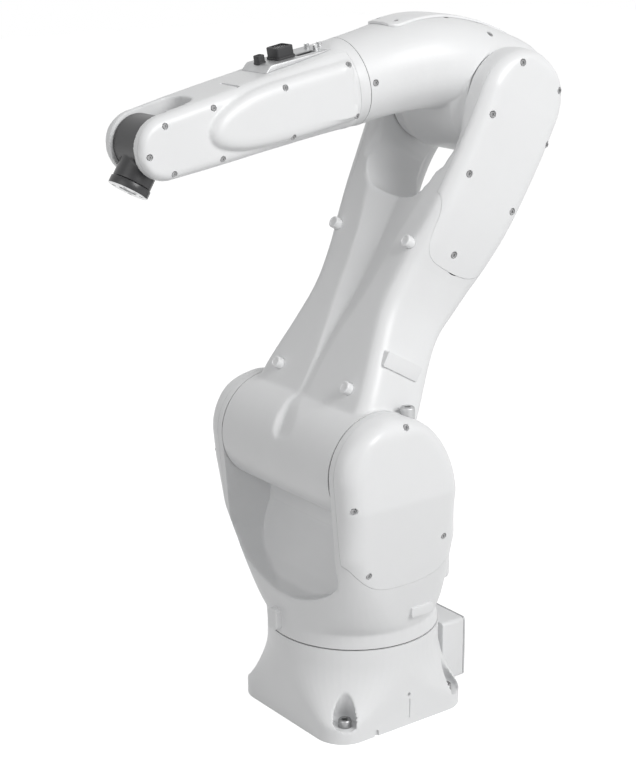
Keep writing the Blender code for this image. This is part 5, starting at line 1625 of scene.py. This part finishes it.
def finish_inner_pieces():
    """The motors, gears, bearings, seal and plate keep their frame shapes and get their own finishes."""
    finishes = {
        "motor": motor_enamel,
        "reducer": turned_metal,
        "bearing": turned_metal,
        "seal": seal_rubber,
        "plate": motor_enamel,
    }
    for name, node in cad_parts.items():
        finish = finishes.get(name.split("_")[-1])
        if finish:
            for slot in node.material_slots:
                slot.material = finish


# Floor, light and camera

def seen_rays(tree):
    """One for what the camera sees directly, in a mirror or through glass, and nought for light on surfaces."""
    path = node_of(tree, "ShaderNodeLightPath").outputs
    seen = math_node(tree, "ADD", path["Is Camera Ray"], path["Is Glossy Ray"], True)
    return math_node(tree, "ADD", seen, path["Is Transmission Ray"], True)


def build_studio():
    floor = add_mesh("studio_floor", [(-8, -8, 0), (8, -8, 0), (8, 8, 0), (-8, 8, 0)], [(0, 1, 2, 3)])
    paper = bpy.data.materials.new("floor_paper")
    paper.use_nodes = True
    tree = paper.node_tree
    shader = tree.nodes["Principled BSDF"]
    shader.inputs["Base Color"].default_value = (0.60, 0.60, 0.60, 1.0)
    shader.inputs["Roughness"].default_value = 0.9
    shader.inputs["Specular IOR Level"].default_value = 0.1
    lift = math_node(tree, "MULTIPLY", seen_rays(tree), 0.80)
    glow = node_of(tree, "ShaderNodeEmission")
    tree.links.new(lift, glow.inputs["Strength"])
    both = node_of(tree, "ShaderNodeAddShader")
    tree.links.new(shader.outputs[0], both.inputs[0])
    tree.links.new(glow.outputs[0], both.inputs[1])
    tree.links.new(both.outputs[0], tree.nodes["Material Output"].inputs["Surface"])
    floor.data.materials.append(paper)

    world = bpy.data.worlds.new("studio")
    bpy.context.scene.world = world
    world.use_nodes = True
    tree = world.node_tree
    lift = math_node(tree, "MULTIPLY", seen_rays(tree), 1.0 - ambient_level)
    strength = math_node(tree, "ADD", lift, ambient_level)
    background = tree.nodes["Background"]
    background.inputs["Color"].default_value = (1.0, 1.0, 1.0, 1.0)
    tree.links.new(strength, background.inputs["Strength"])

    for name, place, aim, size, power in lamps:
        light = bpy.data.lights.new(name, "AREA")
        light.shape = "DISK"
        light.size = size
        light.energy = power
        lamp = into_scene(name, light)
        look = Vector(aim) - Vector(place)
        lamp.matrix_world = Matrix.LocRotScale(Vector(place), look.to_track_quat("-Z", "Y"), None)


def build_camera():
    lens = bpy.data.cameras.new("photo_camera")
    lens.sensor_fit = "VERTICAL"
    lens.sensor_height = 36.0
    lens.lens = camera_lens
    camera = into_scene("photo_camera", lens)
    camera.matrix_world = Matrix.LocRotScale(camera_place, camera_turn, None)
    bpy.context.scene.camera = camera


ambient_level = 0.35
lamps = (
    ("key_light", (-0.5, 2.9, 2.3), (0.0, 0.0, 0.4), 2.0, 77.0),
    ("front_light", (3.0, 0.6, 1.8), (0.0, 0.0, 0.4), 2.4, 17.0),
)

bpy.context.scene.view_settings.view_transform = "Standard"
build_base()
build_connector_box()
build_turret()
build_lower_arm()
build_elbow()
build_forearm()
build_top_connectors()
build_wrist()
build_flange()
finish_inner_pieces()
build_studio()
build_camera()
